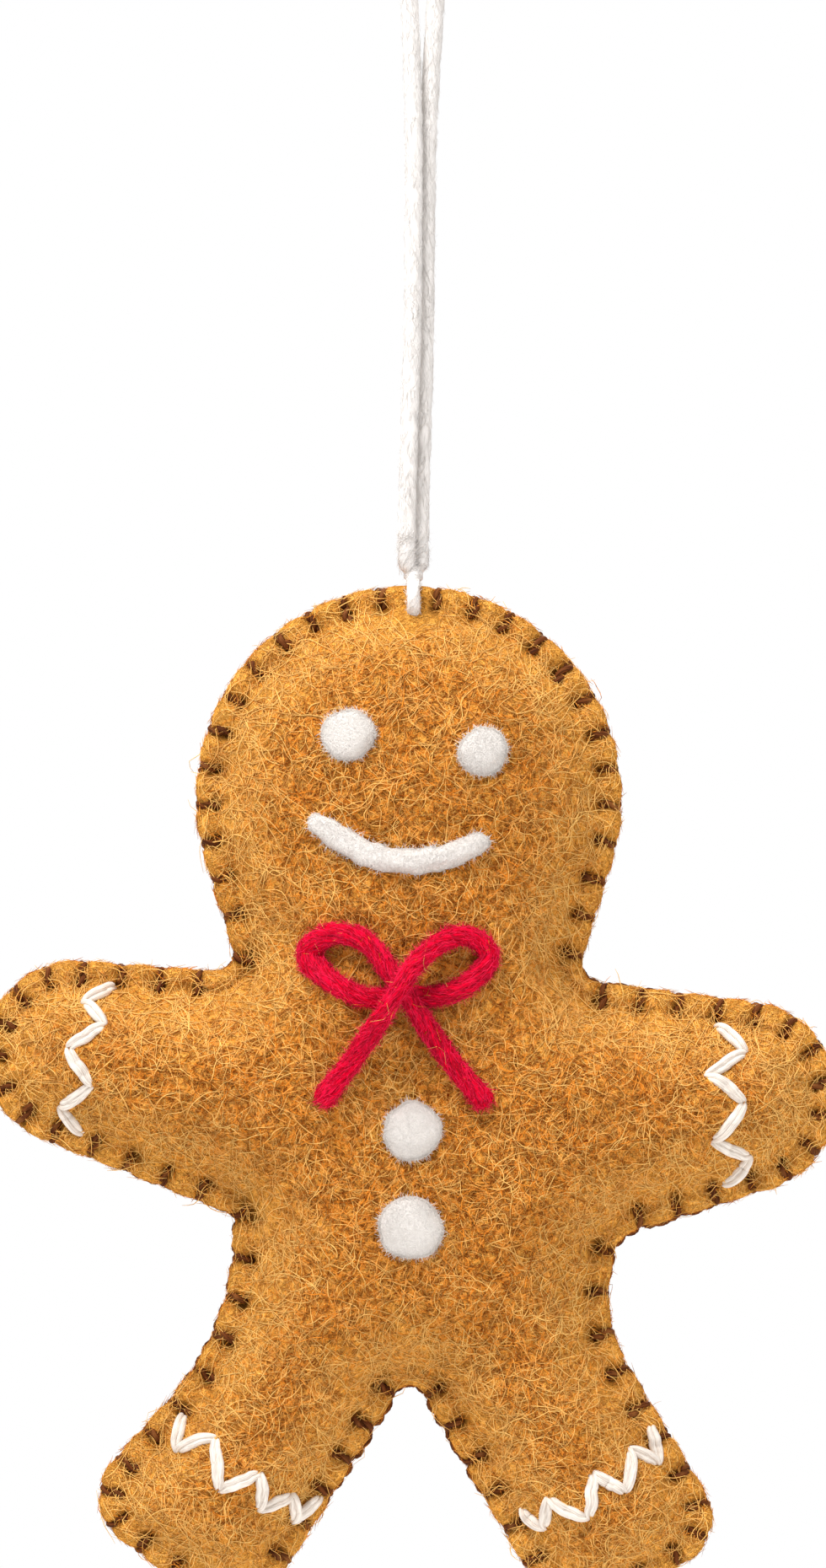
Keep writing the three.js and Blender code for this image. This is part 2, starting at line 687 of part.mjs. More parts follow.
function zigzagThread(corners) {
  const radius = zigzagDiameter / 2;
  const height = clearance + radius;
  const last = corners.length - 1;
  const end = (at) => [-zigzagDip, height + clearance].map((lift) => (
    new THREE.Vector3(at.x, onFacet(at) - lift, at.y)
  ));
  const points = end(corners[0]);
  for (let i = 0; i < last; i += 1) {
    const stroke = corners[i + 1].clone().sub(corners[i]);
    const inset = zigzagDiameter / stroke.length();
    for (let step = 0; step <= strokeSteps; step += 1) {
      const share = THREE.MathUtils.lerp(inset, 1 - inset, step / strokeSteps);
      points.push(overFront(corners[i].clone().addScaledVector(stroke, share), height));
    }
  }
  points.push(...end(corners[last]).reverse());
  return tubeThrough(points, radius, threadSides);
}
for (const [name, corners] of zigzags) place(figure, name, zigzagThread(corners), whiteThread);

// The least space between strands that are not next to each other, at even points of a thread
function leastGap(points, diameter) {
  const turn = 3 * diameter;
  let least = Infinity;
  points.forEach((a, i) => {
    let way = 0;
    for (let j = i + 1; j < points.length; j += 1) {
      way += points[j].distanceTo(points[j - 1]);
      if (way > turn) least = Math.min(least, a.distanceTo(points[j]) - diameter);
    }
  });
  return least;
}

function printGap(name, points, diameter) {
  console.log(`${name}: least gap to itself ${leastGap(points, diameter).toFixed(2)} mm`);
}
printGap('bow', bowPoints, bow.yarnDiameter);

// The edge thread in blanket stitch. At each stitch it comes along the edge, goes over the
// front's rim, through both panels and back over the rear one, and then on along the edge.

// The nearest place outside the felt's edge that lies a gap off it
function besideEdge({ moved }, along, gap) {
  let into = scallopDepth;
  while (inside(moved(along, into), feltEdge) || distanceToLoop(moved(along, into), feltEdge) < gap) {
    into -= searchStep;
  }
  return moved(along, into);
}

function edgeThread() {
  const radius = edgeThreadDiameter / 2;
  const off = clearance + radius;
  const spot = (at, depth) => new THREE.Vector3(at.x, depth, at.y);
  const points = stitches.flatMap((stitch, i) => {
    const hole = stitch.moved(0, stitchBite);
    const level = outerFace(hole) + off;
    const rim = level - off * (1 - stitchCornerShare);
    const [coming, going] = [-1, 1].map((side) => ({
      edge: besideEdge(stitch, side * stitchSpread / 2, off),
      corner: besideEdge(stitch, side * stitchSpread / 2, off * stitchCornerShare),
    }));
    const next = betweenStitches[i];
    return [
      spot(coming.edge, 0),
      spot(coming.corner, -rim),
      spot(hole, -level),
      spot(hole, level),
      spot(going.corner, rim),
      spot(going.edge, 0),
      ...(next ? [spot(besideEdge(next, 0, off), 0)] : []),
    ];
  });
  const route = new THREE.CurvePath();
  points.slice(1).forEach((to, i) => route.add(new THREE.LineCurve3(points[i], to)));
  const fine = route.getSpacedPoints(Math.round(route.getLength() / radius));
  printGap('edge_thread', fine, edgeThreadDiameter);
  return tubeThrough(points, radius, stitchSides);
}
place(figure, 'edge_thread', edgeThread(), brownThread);

// The anchor stitch: the cord's tail goes down the front, through both panels and up the back

function anchorStitch() {
  const radius = anchorDiameter / 2;
  const outside = outerFace(anchorAt) + clearance + radius;
  const start = polar(-anchorRise, knotRadius + clearance);
  const leg = [
    [start.x, knotToHead + start.y],
    [(start.x + outside) / 2, knotToHead + start.y - radius],
    [outside, -radius],
    [outside, -anchorBite + radius],
    [outside - radius, -anchorBite],
  ];
  const front = leg.map(([y, z]) => new THREE.Vector3(0, -y, z));
  const back = leg.map(([y, z]) => new THREE.Vector3(0, y, z));
  const points = [...front, new THREE.Vector3(0, 0, -anchorBite), ...back.reverse()];
  return tubeThrough(points, radius, cordSides);
}
place(figure, 'anchor_stitch', anchorStitch(), cotton);

// Knot

function knotBall() {
  const profile = Array.from({ length: knotRings + 1 }, (_, i) => (
    polar(-90 + 180 * i / knotRings, knotRadius)
  ));
  profile[0].x = 0;
  profile[knotRings].x = 0;
  const ball = new THREE.LatheGeometry(profile, roundSides);
  ball.rotateX(Math.PI / 2);
  return ball;
}
place(ornament, 'cord_knot', knotBall(), cotton).position.set(loopLean, 0, -loopDrop);

// Hanging cord: up from the knot, over the hook and down again. Its route is chosen by hand.

const cordRoute = [
  [-2.05, -0.9, -90], [-1.95, -0.95, -84], [-1.7, -0.95, -75], [-1.4, -0.95, -66],
  [-1.3, -0.95, -56], [-1.25, -0.9, -46], [-1.4, -0.65, -38], [-1.7, -0.3, -29],
  [-2.2, -0.1, -20], [-2.9, 0, -12], [-3.4, 0, -6], [-3.3, 0, -2.2], [-2.2, 0, 0.1],
  [0, 0, 0.95],
  [2.2, 0, 0.1], [3.3, 0, -2.2], [3.3, 0, -6], [2.7, 0, -12], [1.9, 0.1, -20],
  [1.2, 0.3, -29], [0.65, 0.65, -38], [0.3, 0.9, -46], [0.15, 0.95, -56],
  [0.05, 0.95, -66], [-0.2, 0.95, -75], [-0.45, 0.95, -84], [-0.55, 0.9, -90],
];

function hangingCord() {
  const route = new THREE.CatmullRomCurve3(cordRoute.map((point) => new THREE.Vector3(...point)));
  const section = new THREE.Shape(Array.from({ length: cordSides }, (_, i) => (
    polar(360 * i / cordSides, cordDiameter / 2)
  )));
  console.log(`hanging_cord: ${route.getLength().toFixed(1)} mm long`);
  printGap('hanging_cord', route.getSpacedPoints(4 * cordSteps), cordDiameter);
  return new THREE.ExtrudeGeometry(section, {
    steps: cordSteps, bevelEnabled: false, extrudePath: route,
  });
}
place(ornament, 'hanging_cord', hangingCord(), cotton);

export default ornament;
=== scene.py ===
"""The looks of a stuffed felt gingerbread ornament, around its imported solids.

Lengths are in millimetres until a mesh is made, and the figure's own origin is the top of its head.
A point of the figure's plane is a complex number, x to the right and z upwards as seen from the front.
"""

import cmath
import math

import bpy
import numpy as np
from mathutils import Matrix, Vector, geometry


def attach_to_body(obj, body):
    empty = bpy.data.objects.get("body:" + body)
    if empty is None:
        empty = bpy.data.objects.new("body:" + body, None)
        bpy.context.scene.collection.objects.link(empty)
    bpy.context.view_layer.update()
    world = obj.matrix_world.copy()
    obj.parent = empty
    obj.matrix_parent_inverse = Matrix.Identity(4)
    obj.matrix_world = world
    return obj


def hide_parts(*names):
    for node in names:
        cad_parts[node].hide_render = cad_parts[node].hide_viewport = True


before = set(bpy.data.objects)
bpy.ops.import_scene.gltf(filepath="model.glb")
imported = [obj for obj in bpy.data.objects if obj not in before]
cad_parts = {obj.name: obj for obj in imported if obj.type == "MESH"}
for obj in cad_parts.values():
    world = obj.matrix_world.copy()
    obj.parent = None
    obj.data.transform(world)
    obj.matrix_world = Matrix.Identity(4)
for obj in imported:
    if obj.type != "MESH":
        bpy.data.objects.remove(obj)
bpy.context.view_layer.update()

MM = 0.001
TURN = 2 * math.pi


def new_object(name, data):
    thing = bpy.data.objects.new(name, data)
    bpy.context.scene.collection.objects.link(thing)
    return thing


# Camera, at the photograph's viewing angle

VIEW_HEIGHT = 176.7  # what the photograph shows from top to bottom, at the figure
VIEW_CENTRE = (-1.33, -116.85)
LENS = 250
SENSOR = 36

camera = new_object("camera", bpy.data.cameras.new("camera"))
camera.data.lens = LENS
camera.data.sensor_width = SENSOR
camera.data.clip_start = 0.01
camera.data.clip_end = 20
camera.location = Vector((VIEW_CENTRE[0], -VIEW_HEIGHT * LENS / SENSOR, VIEW_CENTRE[1])) * MM
camera.rotation_euler = (math.pi / 2, 0, 0)
bpy.context.scene.camera = camera


# Meshes from arrays

CURVE_SAMPLES = 24
PHASE_STEP = 97.0  # moves each ply's weave on, so that no two look alike


def new_piece(name, vertices, faces, material, **attributes):
    """A mesh object; faces is a list of arrays, each with its own number of corners to a face."""
    mesh = bpy.data.meshes.new(name)
    corners = np.concatenate([part.ravel() for part in faces]).astype(np.int32)
    sizes = np.concatenate([np.full(len(part), part.shape[1]) for part in faces])
    starts = np.concatenate([[0], np.cumsum(sizes)[:-1]]).astype(np.int32)
    mesh.vertices.add(len(vertices))
    mesh.vertices.foreach_set("co", (np.asarray(vertices) * MM).astype(np.float32).ravel())
    mesh.loops.add(len(corners))
    mesh.loops.foreach_set("vertex_index", corners)
    mesh.polygons.add(len(sizes))
    mesh.polygons.foreach_set("loop_start", starts)
    mesh.update(calc_edges=True)
    mesh.validate()
    mesh.shade_smooth()
    for key, values in attributes.items():
        values = np.asarray(values, dtype=np.float32)
        vector = values.ndim == 2
        layer = mesh.attributes.new(key, "FLOAT_VECTOR" if vector else "FLOAT", "POINT")
        layer.data.foreach_set("vector" if vector else "value", values.ravel())
    mesh.materials.append(material)
    return new_object(name, mesh)


def attach(piece, slot, *nodes, body="figure"):
    """Puts a piece on its body and hides the CAD nodes that it stands for; the slot is not used."""
    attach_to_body(piece, body)
    if nodes:
        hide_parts(*nodes)
    return piece


def unit(vectors):
    return vectors / np.linalg.norm(vectors, axis=-1, keepdims=True)


def in_space(points, depth=0.0):
    """Places in the figure's own frame from points of its plane and their y."""
    return np.column_stack([points.real, np.broadcast_to(depth, points.shape), points.imag])


def distances(line):
    """The way along a line to each of its points."""
    steps = np.diff(line, axis=0)
    steps = np.abs(steps) if steps.ndim == 1 else np.linalg.norm(steps, axis=1)
    return np.concatenate([[0], np.cumsum(steps)])


def band(rings, sides):
    """The faces of a tube's wall."""
    first = np.arange(rings - 1)[:, None] * sides
    a, b = ((first + (np.arange(sides) + turn) % sides).ravel() for turn in (0, 1))
    return np.column_stack([a, b, b + sides, a + sides])


def smooth(low, high, value):
    share = np.clip((value - low) / (high - low), 0, 1)
    return share * share * (3 - 2 * share)


def quarter(share):
    """The rise of a quarter of a circle, from 0 to 1."""
    return np.sqrt(1 - (1 - np.clip(share, 0, 1)) ** 2)


def field(seed, size, count=16):
    """A smooth random field over space, of spread about 1, with bumps of one size."""
    rng = np.random.default_rng(seed)
    waves = unit(rng.normal(size=(count, 3))) * TURN / size * rng.uniform(0.6, 1.5, (count, 1))
    phases = rng.uniform(0, TURN, count)
    return lambda points: np.cos(points @ waves.T + phases).sum(axis=-1) * math.sqrt(2 / count)


def curve(points, step):
    """Even points on a centripetal Catmull-Rom curve."""
    points = np.asarray(points, dtype=float)
    ends = np.vstack([2 * points[0] - points[1], points, 2 * points[-1] - points[-2]])
    parts = []
    for p0, p1, p2, p3 in zip(ends, ends[1:], ends[2:], ends[3:]):
        t1 = math.sqrt(np.linalg.norm(p1 - p0))
        t2 = t1 + math.sqrt(np.linalg.norm(p2 - p1))
        t3 = t2 + math.sqrt(np.linalg.norm(p3 - p2))
        t = np.linspace(t1, t2, CURVE_SAMPLES, endpoint=False)[:, None]
        blend = lambda p, q, low, high: p * (high - t) / (high - low) + q * (t - low) / (high - low)
        a1, a2, a3 = blend(p0, p1, 0, t1), blend(p1, p2, t1, t2), blend(p2, p3, t2, t3)
        parts.append(blend(blend(a1, a2, 0, t2), blend(a2, a3, t1, t3), t1, t2))
    return spaced(np.vstack(parts + [points[-1:]]), step)


def spaced(line, step):
    """Even points on a line of straight pieces."""
    way = distances(line)
    at = np.linspace(0, way[-1], max(2, round(way[-1] / step) + 1))
    return np.column_stack([np.interp(at, way, line[:, k]) for k in range(line.shape[1])])


def ways_along(route):
    return unit(np.gradient(route, axis=0))


def transported(route, start):
    """Directions square to a route that turn as little as they can."""
    ways = ways_along(route)
    normals = np.empty_like(route)
    normal = np.asarray(start, dtype=float)
    for i, way in enumerate(ways):
        normal = normal - way * (normal @ way)
        normal /= math.sqrt(normal @ normal)
        normals[i] = normal
    return normals, np.cross(ways, normals)


class Tubes:
    """Closed tubes that are gathered into one mesh, with their straightened places."""

    def __init__(self):
        self.vertices, self.quads, self.caps, self.straight = [], [], [], []
        self.count = 0

    def add(self, route, across, up, width, height, sides, offset=0.0, relief=None):
        """A tube with half-widths width and height along across and up, rounded at both ends."""
        rings = len(route)
        way = distances(route)
        width, height = (np.broadcast_to(np.asarray(value, dtype=float), rings) for value in (width, height))
        near = np.minimum(way, way[-1] - way) / np.minimum(width, height).max()
        rounding = quarter(near + 0.03)
        angles = TURN * np.arange(sides) / sides
        x = np.cos(angles) * (width * rounding)[:, None]
        y = np.sin(angles) * (height * rounding)[:, None]
        straight = np.stack([np.broadcast_to(way[:, None] + offset, x.shape), x, y], axis=-1)
        if relief is not None:
            swell = 1 + relief(straight)
            x, y = x * swell, y * swell
        ring = route[:, None] + x[..., None] * across[:, None] + y[..., None] * up[:, None]
        ends = np.array([np.arange(sides)[::-1], (rings - 1) * sides + np.arange(sides)])
        self.vertices.append(ring.reshape(-1, 3))
        self.straight.append(straight.reshape(-1, 3))
        self.quads.append(band(rings, sides) + self.count)
        self.caps.append(ends + self.count)
        self.count += rings * sides

    def arrays(self):
        return np.vstack(self.vertices), [np.vstack(self.quads), np.vstack(self.caps)]

    def piece(self, name, slot, node, material, body="figure"):
        piece = new_piece(name, *self.arrays(), material, straight=np.vstack(self.straight))
        return attach(piece, slot, node, body=body)


def plies(tubes, route, count, offset, radius, pitch, sides, start=(0, 0, 1), relief=None):
    """Strands that are twisted round a route."""
    normals, binormals = transported(route, start)
    way = distances(route)
    for k in range(count):
        turn = TURN * (way / pitch + k / count)
        out = np.cos(turn)[:, None] * normals + np.sin(turn)[:, None] * binormals
        centre = route + np.reshape(offset, (-1, 1)) * out
        side = np.cross(ways_along(centre), out)
        tubes.add(centre, out, side, radius, radius, sides, offset=PHASE_STEP * k, relief=relief)


def scatter(vertices, faces, count, rng):
    """Random places spread evenly over quads or triangles, with normals and the way of a quad's side."""
    triangles = np.vstack([part[:, [0, k, k + 1]] for part in faces for k in range(1, part.shape[1] - 1)])
    sides = np.vstack([part[:, [0, -1]] for part in faces for k in range(1, part.shape[1] - 1)])
    a, b, c = (vertices[triangles[:, k]] for k in range(3))
    square = np.cross(b - a, c - a)
    areas = np.linalg.norm(square, axis=1)
    pick = rng.choice(len(triangles), count, p=areas / areas.sum())
    u, v = rng.uniform(size=(2, count, 1))
    u, v = np.where(u + v > 1, 1 - u, u), np.where(u + v > 1, 1 - v, v)
    places = a[pick] + u * (b - a)[pick] + v * (c - a)[pick]
    along = vertices[sides[pick, 1]] - vertices[sides[pick, 0]]
    return places, square[pick] / areas[pick][:, None], unit(along)


def laid(depth, pitch):
    """Low ridges of three strands laid together, as a relief for a tube."""
    return lambda s: depth * np.cos(3 * np.arctan2(s[..., 2], s[..., 1]) + s[..., 0] * TURN / pitch)


def slivers(name, slot, centres, out, thickness, material, shade, body="figure"):
    """Thin closed tubes of three sides, each through a row of centres; shades are by tube or by centre."""
    count, rings, _ = centres.shape
    ways = unit(np.gradient(centres, axis=1))
    side = unit(np.cross(ways, out))
    up = np.cross(side, ways)
    radius = thickness * np.sqrt(np.sin(np.linspace(0.04, 0.96, rings) * math.pi))[None, :, None]
    angles = TURN * np.arange(3) / 3
    ring = centres[:, :, None] + radius[..., None] * (
        np.cos(angles)[:, None] * up[:, :, None] + np.sin(angles)[:, None] * side[:, :, None])
    first = (np.arange(count) * rings * 3)[:, None]
    quads = (first[..., None] + band(rings, 3)[:, [0, 3, 2, 1]]).reshape(-1, 4)
    caps = np.vstack([first + [0, 1, 2], first + (rings - 1) * 3 + [2, 1, 0]])
    shades = np.repeat(shade, rings * 3 * count // shade.size)
    piece = new_piece(name, ring.reshape(-1, 3), [quads, caps], material, shade=shades)
    return attach(piece, slot, body=body)


def fuzz(
        name, slot, spots, material, rng, length, thickness, lift, free, curl, spread=None, body="figure"):
    """Short fibres on a surface, about its ways where a spread is given; each pair of values is a range."""
    places, normals, along = spots
    count = len(places)
    draw = lambda pair: rng.uniform(*pair, (count, 1, 1))
    ways = rng.normal(size=(count, 3))
    if spread is not None:
        ways = along * rng.choice([-1, 1], (count, 1)) + spread * ways
    ways = unit(ways - normals * (ways * normals).sum(axis=1, keepdims=True))[:, None]
    out = normals[:, None]
    t = np.linspace(0, 1, 4)[None, :, None]
    size = draw(length)
    bend = draw(curl) * rng.choice([-1, 1], (count, 1, 1))
    centres = places[:, None] + ways * size * (t - 0.5) + np.cross(ways, out) * bend * size * (t - 0.5) ** 2
    centres = centres + out * (draw(lift) + draw(free) * size * t ** 2)
    return slivers(name, slot, centres, out, draw(thickness), material, rng.uniform(size=count), body)


# Node materials


class Nodes:
    """A node tree with short ways to add nodes and links."""

    def __init__(self, owner):
        owner.use_nodes = True
        self.tree = owner.node_tree

    def set(self, node, values):
        for key, value in values.items():
            if isinstance(value, bpy.types.NodeSocket):
                self.tree.links.new(value, node.inputs[key])
            else:
                node.inputs[key].default_value = value

    def add(self, kind, values, output=0, **settings):
        node = self.tree.nodes.new("ShaderNode" + kind)
        for key, value in settings.items():
            setattr(node, key, value)
        self.set(node, values)
        return node.outputs[output]

    def math(self, operation, a, b):
        return self.add("Math", {0: a, 1: b}, operation=operation)

    def times(self, a, b):
        return self.math("MULTIPLY", a, b)

    def range(self, value, low, high, to_low=0.0, to_high=1.0):
        limits = {0: value, 1: low, 2: high, 3: to_low, 4: to_high}
        return self.add("MapRange", limits, interpolation_type="SMOOTHSTEP")


class Material(Nodes):
    """A material of one shader."""

    def __init__(self, name, roughness, specular=0.5, **sockets):
        self.material = bpy.data.materials.new(name)
        super().__init__(self.material)
        self.shader = self.tree.nodes["Principled BSDF"]
        self.set(self.shader, {"Roughness": roughness, "Specular IOR Level": specular, **sockets})

    def mix(self, share, a, b):
        """A mix of two colours, each a socket or as it shows on a screen."""
        a, b = (colour(*part) if isinstance(part, tuple) else part for part in (a, b))
        return self.add("Mix", {0: share, 6: a, 7: b}, output=2, data_type="RGBA")

    def places(self):
        """Places on the piece in millimetres."""
        at = self.add("TexCoord", {}, output=3)
        return self.add("VectorMath", {0: at, 3: 1 / MM}, operation="SCALE")

    def number(self, name):
        """An attribute of the mesh that is a number."""
        return self.add("Attribute", {}, output=2, attribute_name=name)

    def noise(self, at, size, detail=2.0, output=0, roughness=0.55):
        values = {"Vector": at, "Scale": 1 / size, "Detail": detail, "Roughness": roughness}
        return self.add("TexNoise", values, output=output)

    def warped(self, at, size, amount):
        """Places moved about by a smooth field, so that what follows them wanders."""
        drift = self.noise(at, size, detail=1, output=1)
        drift = self.add("VectorMath", {0: drift, 1: (0.5, 0.5, 0.5)}, operation="SUBTRACT")
        return self.add("VectorMath", {0: drift, 1: (amount,) * 3, 2: at}, operation="MULTIPLY_ADD")

    def hairs(self, at, angles, length, width, low=0.56, high=0.72):
        """Fine fibres that cross in several directions, from 0 to 1."""
        most = None
        for k, (turn, tilt) in enumerate(angles):
            turned = self.add("Mapping", {
                "Vector": at, "Location": (13.7 * k, 5.1 * k, 9.3 * k),
                "Rotation": (math.radians(tilt), math.radians(turn), 0),
            })
            value = self.range(self.noise(self.stretched(turned, length, width), 1, detail=1), low, high)
            most = value if most is None else self.math("MAXIMUM", most, value)
        return most

    def stretched(self, at, length, width):
        return self.add("VectorMath", {0: at, 1: (1 / length, 1 / width, 1 / width)}, operation="MULTIPLY")

    def finish(self, colour, height=None, depth=0.1):
        self.set(self.shader, {"Base Color": colour})
        if height is not None:
            bump = self.add("Bump", {"Height": height, "Distance": depth * MM})
            self.set(self.shader, {"Normal": bump})
        return self.material


def colour(red, green, blue):
    """A colour as it shows on a screen, 0 to 255, as the shader's own values."""
    return tuple(((v / 255 + 0.055) / 1.055) ** 2.4 for v in (red, green, blue)) + (1.0,)


CROSSING = [(8, 0), (38, 20), (71, -15), (104, 10), (139, -25), (167, 15)]  # turn and tilt of fine fibres
FELT_SHEEN = {"Sheen Weight": 0.8, "Sheen Roughness": 0.5, "Sheen Tint": colour(255, 170, 66)}
# colour of the painted shade in the gaps between the felt's fibres
FELT_GAP_SHADE = (114, 34, 0)


def shaded_felt_pits(m, at):
    """Where the felt's fibres leave small gaps, from 0 to 1; these are pressed in by the bump and given
    painted shade.
    """
    return m.range(m.noise(m.warped(at, 0.8, 0.5), 0.72, detail=2, roughness=0.6), 0.54, 0.43)


def felt_material():
    m = Material("felt", 0.95, 0.03, **FELT_SHEEN)
    at = m.places()
    rim = m.number("near_rim")
    mottle = m.noise(at, 4.5, detail=3)
    shaded_pits = shaded_felt_pits(m, at)
    fine = m.noise(at, 0.3, detail=2, roughness=0.7)
    hairs = m.hairs(m.warped(at, 2.2, 1.8), CROSSING, 1.9, 0.14, 0.54, 0.66)
    base = m.mix(m.range(mottle, 0.3, 0.7), (218, 128, 34), (244, 157, 56))
    # painted light: paler felt near the rim, with fewer gaps there, for the brighter light on its turned
    # faces
    base = m.mix(m.times(rim, 0.5), base, (255, 176, 72))
    # painted shade in the gaps between fibres, less of it near the rim
    base = m.mix(m.times(shaded_pits, m.range(rim, 0, 1, 1, 0.55)), base, FELT_GAP_SHADE)
    # painted shade in the small hollows of the fine noise, which the bump also presses in
    base = m.mix(m.times(m.range(fine, 0.5, 0.36), 0.6), base, (124, 56, 6))
    base = m.mix(m.times(hairs, 0.6), base, (255, 192, 96))
    # painted shade at the stitches' holes and grooves
    base = m.mix(m.times(m.number("dark"), 0.85), base, (66, 32, 12))
    height = m.math("SUBTRACT", m.times(hairs, 0.7), m.math("SUBTRACT", shaded_pits, m.times(fine, 0.5)))
    return m.finish(base, height, depth=0.25)


def felt_fibre_material():
    m = Material("felt_fibre", 0.85, 0.05, **FELT_SHEEN)
    shade = m.number("shade")
    at = m.places()
    base = m.mix(m.range(shade, 0.0, 0.5), (160, 76, 6), (244, 153, 50))
    base = m.mix(m.range(shade, 0.45, 1.0), base, (255, 212, 126))
    base = m.mix(m.range(m.noise(at, 6, detail=2), 0.62, 0.38, 0.0, 0.16), base, (184, 96, 22))
    # painted shade: fibres darkened over the gaps, the darker fibres the more
    shaded_pits = m.times(shaded_felt_pits(m, at), m.range(shade, 1.2, 0.3, 0.0, 0.95))
    return m.finish(m.mix(shaded_pits, base, FELT_GAP_SHADE))


def wool_material():
    m = Material("white_wool", 0.95, 0.15)
    at = m.places()
    hairs = m.hairs(m.warped(at, 2.0, 1.4), CROSSING, 2.4, 0.16)
    mottle = m.noise(at, 1.2, detail=3)
    base = m.mix(m.range(mottle, 0.3, 0.7), (220, 214, 209), (231, 225, 219))
    base = m.mix(m.times(hairs, 0.6), base, (238, 232, 227))
    return m.finish(base, m.math("ADD", hairs, mottle), depth=0.02)


def strand_material(name, low, high, light, roughness, twist, width, depth, specular=0.3):
    """Fibres that run along a strand and turn round it by so many degrees a millimetre."""
    m = Material(name, roughness, specular)
    at = m.add("Attribute", {}, output=1, attribute_name="straight")
    angle = m.times(m.add("SeparateXYZ", {0: at}), math.radians(twist))
    turned = m.add("VectorRotate", {"Vector": at, "Angle": angle}, rotation_type="X_AXIS")
    value = m.noise(m.stretched(m.warped(turned, 1.5, 0.25), 3.0, width), 1, detail=3, roughness=0.6)
    mottle = m.noise(at, 1.6, detail=2)
    base = m.mix(m.range(value, 0.35, 0.62), low, high)
    base = m.mix(m.times(m.range(mottle, 0.45, 0.75), 0.6), base, light)
    return m.finish(base, value, depth=depth)


def fibre_material(name, low, high):
    m = Material(name, 0.85, 0.15)
    return m.finish(m.mix(m.number("shade"), low, high))


FELT = felt_material()
FELT_FIBRE = felt_fibre_material()
WHITE_WOOL = wool_material()
RED_YARN = strand_material(
    "red_yarn", (164, 0, 28), (244, 0, 52), (255, 24, 78),
    roughness=0.85, twist=6, width=0.16, depth=0.12, specular=0.05)
WHITE_THREAD = strand_material(
    "white_thread", (200, 186, 174), (234, 224, 212), (242, 234, 224),
    roughness=0.5, twist=8, width=0.12, depth=0.06)
BROWN_THREAD = strand_material(
    "brown_thread", (58, 24, 4), (110, 58, 22), (150, 94, 46),
    roughness=0.7, twist=60, width=0.14, depth=0.06, specular=0.1)
COTTON = strand_material(
    "cotton_cord", (220, 215, 211), (236, 231, 227), (242, 237, 233),
    roughness=0.85, twist=25, width=0.2, depth=0.05)
RED_FIBRE = fibre_material("red_fibre", (170, 0, 30), (255, 34, 86))
COTTON_FIBRE = fibre_material("cotton_fibre", (226, 221, 217), (246, 242, 238))
WOOL_FIBRE = fibre_material("wool_fibre", (223, 216, 210), (240, 234, 228))


# Hanging cord: the route of the part's source

CORD_DIAMETER = 1.9
CORD_STEP = 0.15
KNOT_Z = -91.7
LEAN = -1.3
CORD_ROUTE = [
    (-2.05, -0.9, -90), (-1.95, -0.95, -84), (-1.7, -0.95, -75), (-1.4, -0.95, -66),
    (-1.3, -0.95, -56), (-1.25, -0.9, -46), (-1.4, -0.65, -38), (-1.7, -0.3, -29),
    (-2.2, -0.1, -20), (-2.9, 0, -12), (-3.4, 0, -6), (-3.3, 0, -2.2), (-2.2, 0, 0.1),
    (0, 0, 0.95),
    (2.2, 0, 0.1), (3.3, 0, -2.2), (3.3, 0, -6), (2.7, 0, -12), (1.9, 0.1, -20),
    (1.2, 0.3, -29), (0.65, 0.65, -38), (0.3, 0.9, -46), (0.15, 0.95, -56),
    (0.05, 0.95, -66), (-0.2, 0.95, -75), (-0.45, 0.95, -84), (-0.55, 0.9, -90),
]


def cotton_fuzz(name, tubes, count, seed, body, lowest=-1000):
    rng = np.random.default_rng(seed)
    spots = scatter(*tubes.arrays(), count, rng)
    high = spots[0][:, 2] > lowest
    return fuzz(
        name, "cotton_cord", [part[high] for part in spots], COTTON_FIBRE, rng, length=(0.8, 2.2),
        thickness=(0.02, 0.035), lift=(-0.01, 0.05), free=(0.0, 0.08), curl=(0.0, 0.8), spread=0.3, body=body)


def hanging_cord():
    route = curve(CORD_ROUTE, CORD_STEP)
    tubes = Tubes()
    ridges, lump = laid(0.03, pitch=5.5), field(11, 2.5)
    relief = lambda s: ridges(s) + 0.015 * lump(s)
    normals, binormals = transported(route, (1, 0, 0))
    tubes.add(route, normals, binormals, CORD_DIAMETER / 2, CORD_DIAMETER / 2, sides=20, relief=relief)
    cord = tubes.piece("hanging_cord_twisted", "cotton_cord", "hanging_cord", COTTON, "hanging_loop")
    fluff = cotton_fuzz("hanging_cord_fuzz", tubes, 5000, 12, "hanging_loop")


hanging_cord()


# The figure's outline, with the sizes of the part's source

FELT_THICKNESS = 1.8
SEAM_WIDTH = 3.2
SEAM_GAP = 0.3
STITCH_PITCH = 4.4
STITCH_BITE = 2.4
STITCH_START = 3.3
CROWN_HEIGHT = 8.2
CROWN_REACH = 12.5
CROWN_LEAD = 0.8
CROWN_FULLNESS = 1.1  # more than the solids have, in the middle of the head and the body
FIGURE = np.array([LEAN, 0, KNOT_Z - 2.8])

HEAD_X = -0.5
HEAD_RADIUS = 24
HEAD_CORNERS = 6
HEAD_CENTRE = complex(HEAD_X, -HEAD_RADIUS)
NECK_ANGLE = -17
NECK_ROUND = 2
CHEST = -73
WAIST = -83
LEFT_SIDE = [complex(-20.3, CHEST), complex(-20.3, WAIST)]
RIGHT_SIDE = [complex(21, WAIST), complex(23.2, CHEST)]
CROTCH_ROUND = 1.6
ARC_STEPS = 40


def polar(degrees, length=1.0):
    return length * cmath.exp(1j * math.radians(degrees))


def cross(a, b):
    return (a.conjugate() * b).imag


def meet(first, second):
    (a, b), (c, d) = first, second
    return a + (b - a) * cross(c - a, d - c) / cross(b - a, d - c)


